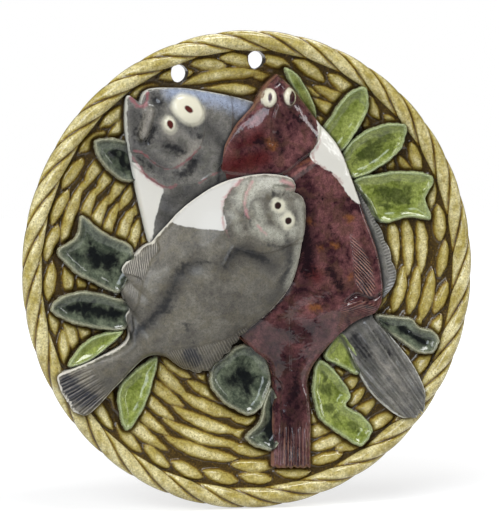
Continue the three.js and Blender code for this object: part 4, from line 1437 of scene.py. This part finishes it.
def brown_fish(form: DishForm) -> Fish:
    """Return the aubergine flatfish in the middle."""
    return Fish(
        form, "brown_fish",
        back=(
            (0.107, 0.819, 0.058), (0.173, 0.765, 0.058), (0.29, 0.625, 0.058), (0.385, 0.517, 0.058),
            (0.44, 0.395, 0.058), (0.51, 0.207, 0.058), (0.562, 0.06, 0.058), (0.583, -0.1, 0.06),
            (0.56, -0.18, 0.066), (0.46, -0.228, 0.07), (0.33, -0.35, 0.058), (0.265, -0.45, 0.05),
            (0.268, -0.6, 0.048), (0.256, -0.834, 0.045),
        ),
        belly=(
            (0.107, 0.819, 0.058), (0.057, 0.771, 0.067), (0.01, 0.69, 0.095), (-0.07, 0.6, 0.117),
            (-0.125, 0.49, 0.117), (-0.14, 0.3, 0.09), (-0.12, 0.08, 0.067), (-0.1, -0.1, 0.056),
            (-0.06, -0.25, 0.05), (0.02, -0.34, 0.042), (0.085, -0.4, 0.042), (0.105, -0.48, 0.042),
            (0.102, -0.65, 0.042), (0.092, -0.83, 0.045),
        ),
        ridge=(
            (0.1, 0.79, 0.095), (0.087, 0.69, 0.133), (0.1, 0.48, 0.158), (0.141, 0.295, 0.158),
            (0.165, 0.04, 0.15), (0.176, -0.17, 0.125), (0.185, -0.34, 0.1), (0.18, -0.51, 0.083),
            (0.173, -0.68, 0.067), (0.17, -0.832, 0.058),
        ),
        white=(
            (0.29, 0.64), (0.42, 0.52), (0.48, 0.395), (0.48, 0.27), (0.434, 0.294), (0.392, 0.357),
            (0.35, 0.402), (0.288, 0.437), (0.246, 0.476), (0.282, 0.543),
        ),
        covers=(
            ((0.3, 0.65), (0.296, 0.59), (0.282, 0.543), (0.247, 0.493), (0.205, 0.465), (0.12, 0.405),
             (0.0, 0.4), (-0.2, 0.45), (-0.2, 0.65), (0.1, 0.9), (0.25, 0.8)),
        ),
        pinks=(
            Stroke((
                (0.3, 0.56), (0.282, 0.52), (0.255, 0.48), (0.29, 0.44), (0.35, 0.405), (0.395, 0.36),
            ), 0.2),
            Stroke(((0.15, 0.388), (0.2, 0.418), (0.25, 0.45)), 0.7),
            # Painted highlight: a pinkish glint between the eyes.
            Stroke(((0.1, 0.74), (0.107, 0.69)), 0.5),
        ),
        shades=(
            Stroke(((0.193, 0.462), (0.229, 0.477), (0.252, 0.494)), 0.8),
            Stroke(((0.2, 0.62), (0.16, 0.66)), 1.5), Stroke(((0.02, 0.54), (0.05, 0.52)), 1.2),
            Stroke(((0.19, 0.28), (0.23, 0.1), (0.24, 0.0)), 3.0),
            Stroke(((0.34, 0.0), (0.4, -0.1)), 1.5),
            Stroke(((0.418, -0.14), (0.456, -0.115), (0.537, -0.13), (0.57, -0.11)), 0.6),
            Stroke(((0.5, -0.16), (0.53, -0.165)), 0.8), Stroke(((0.57, 0.02), (0.575, -0.05)), 0.5),
            Stroke(((0.17, -0.56), (0.2, -0.5)), 1.5),
            Stroke(((0.22, -0.35), (0.16, -0.7), (0.2, -0.8)), 0.0),
            Stroke(((0.1, 0.58), (0.12, 0.5)), 0.6), Stroke(((0.25, 0.62), (0.27, 0.56)), 0.4),
            Stroke(((0.17, 0.3), (0.3, 0.3)), 0.4), Stroke(((0.33, 0.18), (0.38, 0.1)), -0.2),
            Stroke(((0.09, -0.4), (0.13, -0.5)), 0.4), Stroke(((0.48, 0.05), (0.5, -0.08)), 0.8),
        ),
        spots_and_sheens=(
            Stroke(((0.415, 0.221), (0.43, 0.215)), 1.2), Stroke(((0.35, 0.104), (0.365, 0.1)), 1.6),
            Stroke(((0.235, 0.207), (0.25, 0.203)), 1.0), Stroke(((0.065, 0.53), (0.082, 0.524)), 1.8),
            Stroke(((0.265, -0.157), (0.295, -0.16)), 1.2),
            Stroke(((0.43, -0.034), (0.43, -0.03)), 0.6),
            Stroke(((0.29, 0.094), (0.3, 0.09)), 0.8), Stroke(((0.2, 0.44), (0.25, 0.465)), 0.4),
        ),
        # The deep red of the glaze at the left of the head and in small patches on the flank.
        tones_and_highlights=(
            Stroke(((-0.11, 0.42), (-0.05, 0.45), (0.035, 0.47)), 4.5),
            Stroke(((-0.12, 0.3), (-0.13, 0.38)), 3.0), Stroke(((-0.06, 0.52), (0.02, 0.56)), 2.0),
            Stroke(((0.25, 0.0), (0.28, -0.03)), 2.0), Stroke(((0.46, -0.17), (0.5, -0.19)), 1.5),
        ),
        # A darker lower body and tail, and painted shade beside the ridge, by the head and at the fin.
        broad_shades=(
            Stroke(((0.3, -0.26), (0.1, -0.28), (0.17, -0.42), (0.18, -0.82)), 6.0),
            Stroke(((0.1, 0.66), (0.09, 0.5)), 1.0),
            Stroke(((0.22, 0.3), (0.25, 0.1), (0.22, -0.1)), 3.0),
            Stroke(((0.0, 0.53), (0.05, 0.6)), 1.0),
            Stroke(((0.49, 0.06), (0.5, -0.1)), 3.0),
        ),
        creases=(
            Stroke(((0.091, 0.685), (0.079, 0.646), (0.075, 0.585), (0.071, 0.531)), 0.8, -0.0008),
            Stroke(((0.1, 0.685), (0.09, 0.646), (0.086, 0.585)), 1.2, 0.0006),
            Stroke(((0.169, -0.062), (0.173, -0.253), (0.176, -0.424)), 0.5, -0.0005),
            Stroke(((0.15, 0.388), (0.2, 0.418), (0.25, 0.45)), 2.0, 0.001),
            Stroke(((0.418, -0.14), (0.456, -0.115), (0.537, -0.13), (0.57, -0.11)), 0.9, -0.0011),
            Stroke(((0.42, -0.16), (0.48, -0.15), (0.55, -0.165)), 1.6, 0.0009),
            Stroke(((0.12, 0.79), (0.09, 0.77), (0.07, 0.8)), 0.8, -0.0006),
        ),
        eyes=(
            Eye((0.062, 0.719), (0.034, 0.042), (0.03, 0.038), (0.0075, 0.019), -4, 0.0034),
            Eye((0.151, 0.723), (0.034, 0.042), (0.03, 0.036), (0.0145, 0.029), -8, 0.0034,
                (0.008, -0.005)),
        ),
        fringes=(
            Fringe(1, (
                (0.43, 0.15), (0.438, 0.07), (0.443, -0.013), (0.468, -0.092), (0.53, -0.12),
                (0.545, -0.08), (0.53, 0.0), (0.49, 0.08),
            ), 0.0003, 0.0023, 0.00025, 1.3, 0.012, 0.0003, 0.85),
            Fringe(1, (
                (0.41, -0.14), (0.479, -0.13), (0.559, -0.155), (0.64, -0.17), (0.62, -0.3),
                (0.44, -0.34), (0.38, -0.26), (0.39, -0.19),
            ), 0.0002, 0.0018, 0.00012, -0.5, 0.008, 0.0006, 0.4),
            Fringe(-1, (
                (0.141, -0.489), (0.136, -0.546), (0.132, -0.72), (0.118, -0.86), (0.05, -0.88),
                (0.04, -0.45), (0.09, -0.44),
            ), 0.0011, 0.003, 0.0, 0.0, 0.02, 0.0003, 0.0),
            Fringe(1, (
                (0.262, -0.455), (0.25, -0.549), (0.252, -0.666), (0.245, -0.86), (0.32, -0.88),
                (0.33, -0.44),
            ), 0.0006, 0.003, 0.0, 0.0, 0.02, 0.0003, 0.0),
        ),
        fan=((0.25, -0.62), (0.12, -0.62), (0.245, -0.825), (0.105, -0.82)),
        tail_start=0.88,
        tail_rays=5.0,
        tail_drawn=0.5,
    )


def blue_fish(form: DishForm) -> Fish:
    """Return the blue-grey flatfish at the back."""
    return Fish(
        form, "blue_fish",
        back=(
            (-0.478, 0.682, 0.055), (-0.45, 0.748, 0.05), (-0.32, 0.762, 0.05), (-0.16, 0.744, 0.05),
            (0.032, 0.7, 0.042), (0.22, 0.62, 0.042), (0.4, 0.43, 0.042), (0.525, 0.263, 0.042),
            (0.62, 0.06, 0.042), (0.64, -0.06, 0.042), (0.54, -0.19, 0.038), (0.607, -0.28, 0.05),
            (0.695, -0.4, 0.06), (0.742, -0.52, 0.067), (0.735, -0.59, 0.067),
        ),
        belly=(
            (-0.478, 0.682, 0.055), (-0.523, 0.729, 0.05), (-0.53, 0.6, 0.05), (-0.495, 0.42, 0.05),
            (-0.455, 0.255, 0.042), (-0.4, 0.08, 0.033), (-0.24, -0.12, 0.033), (-0.07, -0.23, 0.033),
            (0.14, -0.28, 0.033), (0.34, -0.263, 0.033), (0.4, -0.287, 0.033), (0.47, -0.43, 0.042),
            (0.54, -0.545, 0.052), (0.645, -0.63, 0.067), (0.695, -0.628, 0.067),
        ),
        ridge=(
            (-0.44, 0.66, 0.09), (-0.326, 0.6, 0.117), (-0.198, 0.442, 0.125), (-0.066, 0.233, 0.117),
            (0.109, 0.041, 0.1), (0.308, -0.132, 0.05), (0.445, -0.261, 0.046), (0.551, -0.397, 0.062),
            (0.717, -0.61, 0.071),
        ),
        white=(
            (-0.52, 0.45), (-0.48, 0.45), (-0.44, 0.39), (-0.371, 0.341), (-0.383, 0.278), (-0.399, 0.21),
            (-0.41, 0.12), (-0.45, 0.1), (-0.5, 0.25),
        ),
        covers=(
            ((-0.52, 0.5), (-0.456, 0.49), (-0.421, 0.459), (-0.38, 0.432), (-0.331, 0.43),
             (-0.268, 0.471), (-0.223, 0.516), (-0.2, 0.65), (-0.3, 0.8), (-0.5, 0.8), (-0.6, 0.65)),
            ((-0.52, 0.47), (-0.45, 0.409), (-0.39, 0.364), (-0.354, 0.35), (-0.319, 0.357),
             (-0.237, 0.367), (-0.164, 0.403), (-0.1, 0.5), (-0.1, 0.75), (-0.4, 0.85), (-0.6, 0.7)),
        ),
        pinks=(
            Stroke(((-0.495, 0.503), (-0.456, 0.49), (-0.421, 0.459), (-0.38, 0.432), (-0.331, 0.43),
                    (-0.268, 0.471), (-0.223, 0.516)), 0.15),
            Stroke(((-0.495, 0.472), (-0.45, 0.409), (-0.39, 0.364), (-0.354, 0.35), (-0.319, 0.357)), 0.4),
            Stroke(((-0.523, 0.729), (-0.478, 0.682), (-0.45, 0.7), (-0.447, 0.75)), 0.8),
            Stroke(((-0.22, 0.368), (-0.17, 0.4), (-0.13, 0.415)), 0.1),
        ),
        shades=(
            Stroke(((-0.319, 0.4), (-0.278, 0.41), (-0.245, 0.46)), 1.5),
            Stroke(((-0.41, 0.72), (-0.4, 0.7)), 2.0),
            Stroke(((-0.42, 0.6), (-0.435, 0.55), (-0.47, 0.54)), 1.2),
            Stroke(((-0.36, 0.52), (-0.3, 0.5)), 1.0),
            Stroke(((-0.47, 0.645), (-0.485, 0.585), (-0.48, 0.54)), 0.8),
            Stroke(((-0.47, 0.47), (-0.42, 0.43)), 0.8), Stroke(((-0.27, 0.6), (-0.23, 0.56)), 1.2),
            Stroke(((0.46, -0.3), (0.5, -0.37)), 2.6), Stroke(((0.54, -0.27), (0.6, -0.36)), 1.0),
            Stroke(((-0.16, 0.6), (-0.1, 0.5)), -0.6),
        ),
        # Painted reflection: a bluish sheen of the window along the upper back.
        spots_and_sheens=(
            Stroke(((-0.34, 0.745), (-0.15, 0.72), (0.0, 0.66)), 3.0),
        ),
        # Painted highlight on the raised lobe by the mouth and in the gill crescent; paler patches by the
        # small eye and on the tail.
        tones_and_highlights=(
            Stroke(((-0.44, 0.65), (-0.453, 0.605), (-0.464, 0.567)), 1.8),
            Stroke(((-0.385, 0.62), (-0.37, 0.585), (-0.34, 0.57)), 1.4),
            Stroke(((-0.3, 0.462), (-0.262, 0.495), (-0.235, 0.53)), 1.2),
            Stroke(((0.52, -0.36), (0.66, -0.52)), -0.2),
        ),
        creases=(
            Stroke(((-0.436, 0.66), (-0.452, 0.605), (-0.466, 0.562)), 2.6, 0.0036),
            Stroke(((-0.468, 0.645), (-0.484, 0.59), (-0.488, 0.555)), 1.2, -0.0012),
            Stroke(((-0.414, 0.65), (-0.42, 0.59), (-0.442, 0.542)), 1.4, -0.0014),
            Stroke(((-0.385, 0.705), (-0.37, 0.715)), 2.4, 0.0008),
            Stroke(((-0.319, 0.408), (-0.278, 0.417), (-0.248, 0.462)), 2.0, -0.0005),
            Stroke(((-0.523, 0.729), (-0.478, 0.682), (-0.447, 0.75)), 0.9, 0.0008),
            Stroke(((-0.22, 0.368), (-0.17, 0.4), (-0.13, 0.415)), 0.9, 0.0008),
        ),
        eyes=(
            Eye((-0.274, 0.672), (0.07, 0.055), (0.074, 0.058), (0.019, 0.012), -38, 0.0016),
            Eye((-0.356, 0.61), (0.03, 0.036), (0.028, 0.034), (0.0125, 0.019), 18, 0.0016,
                (0.002, 0.0)),
        ),
        fringes=(
            Fringe(1, (
                (0.44, 0.37), (0.53, 0.2), (0.585, 0.06), (0.602, -0.06), (0.54, -0.17), (0.6, -0.26),
                (0.74, -0.05), (0.72, 0.15), (0.56, 0.42), (0.46, 0.46),
            ), 0.0007, 0.0016, 0.00005, 0.3, 0.013, 0.0012, 0.5),
        ),
        fan=((0.6, -0.32), (0.49, -0.42), (0.72, -0.53), (0.645, -0.61)),
        tail_start=0.74,
        # Painted broad shade behind the eye, under the gill covers, along the jaw, low on the face and at
        # the tail.
        broad_shades=(
            Stroke(((-0.36, 0.53), (-0.25, 0.47)), 3.5), Stroke(((-0.47, 0.52), (-0.38, 0.43)), 1.5),
            Stroke(((-0.2, 0.62), (-0.12, 0.5), (-0.12, 0.4)), 3.0),
            Stroke(((-0.42, 0.72), (-0.4, 0.66)), 1.5),
            Stroke(((-0.37, 0.2), (-0.32, 0.3), (-0.2, 0.33), (-0.1, 0.38)), 4.0),
            Stroke(((-0.5, 0.66), (-0.49, 0.5)), 1.8),
            Stroke(((0.47, -0.3), (0.54, -0.42)), 3.0), Stroke(((0.56, -0.27), (0.66, -0.42)), 0.5),
        ),
        tail_rays=3.6,
        tail_rib=0.0011,
        tail_drawn=0.14,
        torn=0.0014,
    )


@dataclass(frozen=True)
class Softbox:
    """A lamp that faces the dish: place from its middle, width and height, power and light."""

    name: str
    at: tuple[float, float, float]
    size: tuple[float, float]
    power: float
    mirrored: bool = True
    tint: tuple[float, float, float] = (1.0, 1.0, 1.0)


@dataclass
class Studio:
    """The camera, the lights and the pale floor that the dish stands on."""

    form: DishForm
    yaw: float = -12.0
    lift: float = 4.0
    distance: float = 1.2
    lens: float = 161.98
    aim: tuple[float, float, float] = (-0.00056, -0.02372, 0.00225)
    floor_size: float = 1.6
    floor_front: float = 0.3
    glow: float = 0.58
    glow_near: float = 0.12
    glow_far: float = 0.45
    glow_lent: float = 0.3
    ambient: tuple[float, float] = (0.22, 0.06)
    lamps: tuple[Softbox, ...] = (
        Softbox("key", (-0.75, -1.0, 0.8), (1.1, 1.0), 10.4, mirrored=False),
        Softbox("window", (-0.52, -0.95, 0.44), (0.5, 0.6), 3.6, tint=(0.82, 0.9, 1.0)),
        Softbox("rear", (0.35, 0.55, 1.1), (0.8, 0.3), 4.4),
        Softbox("fill", (1.0, -1.0, 0.1), (1.0, 1.1), 3.2, mirrored=False),
        Softbox("strip", (1.2, -0.5, 0.35), (0.12, 0.9), 2.0),
        Softbox("side", (-1.25, -0.4, 0.6), (0.15, 0.8), 2.4),
        Softbox("top", (0.1, -0.45, 1.1), (0.7, 0.22), 4.6),
    )

    def build(self) -> None:
        """Make the camera, the floor and the lights."""
        bpy.context.scene.view_settings.view_transform = "Standard"
        self.camera()
        self.floor()
        self.world()
        for lamp in self.lamps:
            self.hang(lamp)

    def camera(self) -> None:
        """Look at the dish from a little to the left and above."""
        yaw, lift = math.radians(self.yaw), math.radians(self.lift)
        back = Vector((
            math.sin(yaw) * math.cos(lift), -math.cos(yaw) * math.cos(lift), math.sin(lift),
        ))
        aim = Vector(self.aim) + Vector((0.0, 0.0, self.form.middle))
        data = bpy.data.cameras.new("camera")
        data.lens = self.lens
        data.sensor_width = 36.0
        data.clip_start, data.clip_end = 0.05, 50.0
        camera = bpy.data.objects.new("camera", data)
        camera.location = aim + back * self.distance
        camera.rotation_euler = (-back).to_track_quat("-Z", "Y").to_euler()
        bpy.context.scene.collection.objects.link(camera)
        bpy.context.scene.camera = camera

    def floor(self) -> None:
        """Lay a pale glowing floor under the dish, short in front so that it is not mirrored."""
        low = self.form.middle - self.form.half
        bm = bmesh.new()
        bmesh.ops.create_grid(bm, x_segments=1, y_segments=1, size=self.floor_size)
        bmesh.ops.translate(bm, verts=bm.verts, vec=(0, self.floor_size - self.floor_front, low))
        mesh = mesh_from(bm, "floor")
        paper = bpy.data.materials.new("floor_paper")
        paper.use_nodes = True
        nodes = Nodes(paper.node_tree)
        away = nodes.add(
            "ShaderNodeVectorMath", {0: nodes.place(), 1: (1.0, 1.0, 0.0)}, operation="MULTIPLY",
        )
        away = nodes.add("ShaderNodeVectorMath", {0: away.outputs["Vector"]}, operation="LENGTH")
        glow = nodes.between(away.outputs["Value"], self.glow_near, self.glow_far, self.glow, 1.0)
        seen = nodes.add("ShaderNodeLightPath").outputs["Is Camera Ray"]
        glow = nodes.math("MULTIPLY", glow, nodes.between(seen, 0.0, 1.0, self.glow_lent, 1.0))
        shader = paper.node_tree.nodes["Principled BSDF"]
        shader.inputs["Base Color"].default_value = (0.5, 0.5, 0.5, 1.0)
        shader.inputs["Roughness"].default_value = 0.9
        shader.inputs["Specular IOR Level"].default_value = 0.0
        shader.inputs["Emission Color"].default_value = (1.0, 1.0, 1.0, 1.0)
        paper.node_tree.links.new(glow, shader.inputs["Emission Strength"])
        mesh.materials.append(paper)
        floor = bpy.data.objects.new("floor", mesh)
        bpy.context.scene.collection.objects.link(floor)

    def world(self) -> None:
        """Show white round the dish and light it with a dimmer grey."""
        world = bpy.data.worlds.new("studio")
        world.use_nodes = True
        nodes = Nodes(world.node_tree)
        dim = world.node_tree.nodes["Background"]
        dim.inputs["Color"].default_value = (1.0, 1.0, 1.0, 1.0)
        white = nodes.add("ShaderNodeBackground", {"Color": (1.0, 1.0, 1.0, 1.0), "Strength": 1.0})
        path = nodes.add("ShaderNodeLightPath")
        mirrored = nodes.between(path.outputs["Is Glossy Ray"], 0.0, 1.0, *self.ambient)
        world.node_tree.links.new(mirrored, dim.inputs["Strength"])
        mix = nodes.add("ShaderNodeMixShader", {
            0: path.outputs["Is Camera Ray"], 1: dim.outputs[0], 2: white.outputs[0],
        })
        world.node_tree.links.new(mix.outputs[0], world.node_tree.nodes["World Output"].inputs[0])
        bpy.context.scene.world = world

    def hang(self, lamp: Softbox) -> None:
        """Hang a softbox that faces the dish."""
        data = bpy.data.lights.new(lamp.name, "AREA")
        data.shape = "RECTANGLE"
        data.size, data.size_y = lamp.size
        data.energy = lamp.power
        data.color = lamp.tint
        light = bpy.data.objects.new(lamp.name, data)
        middle = Vector((0.0, 0.0, self.form.middle))
        light.visible_glossy = lamp.mirrored
        light.location = middle + Vector(lamp.at)
        light.rotation_euler = (-Vector(lamp.at)).to_track_quat("-Z", "Y").to_euler()
        bpy.context.scene.collection.objects.link(light)


def fish_glazes() -> tuple[FishGlaze, FishGlaze, FishGlaze]:
    """Return the glazes of the grey, the brown and the blue fish."""
    grey = FishGlaze(
        "grey_fish_glaze", light=Colour(122, 118, 107), deep=Colour(80, 76, 69), tint=Colour(104, 98, 82),
        shade=Colour(30, 30, 32), spot_and_sheen=Colour(18, 24, 40), tone_and_highlight=Colour(176, 175, 161),
        line=Colour(184, 176, 164), edge=Colour(226, 221, 208), pupil=Colour(44, 24, 22),
        pink=Colour(192, 136, 138), white=Colour(200, 198, 192), cream=Colour(212, 208, 186),
        gloss=0.34, coat=0.08, drift=75.0, contrast=0.6, blur=1.3, iris=1.6, grit=0.15,
    )
    brown = FishGlaze(
        "brown_fish_glaze", light=Colour(124, 80, 80), deep=Colour(52, 26, 32), tint=Colour(88, 62, 50),
        shade=Colour(20, 8, 16), spot_and_sheen=Colour(130, 80, 34), tone_and_highlight=Colour(72, 18, 18),
        line=Colour(176, 130, 112), edge=Colour(122, 86, 70), pupil=Colour(58, 26, 36),
        pink=Colour(164, 112, 108), gloss=0.04, drift=85.0, contrast=0.85, haze=2.2, spotting=0.7,
    )
    blue = FishGlaze(
        "blue_fish_glaze", light=Colour(142, 138, 130), deep=Colour(80, 80, 80), tint=Colour(94, 93, 84),
        shade=Colour(34, 34, 37), spot_and_sheen=Colour(162, 174, 198), tone_and_highlight=Colour(160, 154, 144),
        line=Colour(184, 182, 174), edge=Colour(208, 208, 200), pupil=Colour(84, 38, 34),
        pink=Colour(164, 92, 100), gloss=0.08, drift=75.0, contrast=0.45, haze=5.0, blur=1.6,
        iris=0.9, grit=0.1,
    )
    return grey, brown, blue


def main() -> None:
    """Build the dish and its studio, and hand them to the frame."""
    logging.basicConfig(level=logging.INFO, format="%(message)s")
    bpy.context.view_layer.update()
    form = DishForm()
    effects = GlazeEffects()
    basket = BasketGlaze().build(effects)
    leaves, grey, brown, blue = LeafSpray(form), grey_fish(form), brown_fish(form), blue_fish(form)
    fishes = [fish.outline() for fish in (grey, brown, blue)]
    Plate(form).build(basket, fishes + leaves.outlines())
    RopeRim(form).build(basket, fishes)
    leaves.build(LeafGlaze().build(effects), fishes)
    grey_glaze, brown_glaze, blue_glaze = fish_glazes()
    blue.build(blue_glaze.build(effects), fishes[:2])
    brown.build(brown_glaze.build(effects), fishes[:1])
    grey.build(grey_glaze.build(effects), [])
    Studio(form).build()


if __name__ == "__main__":
    main()
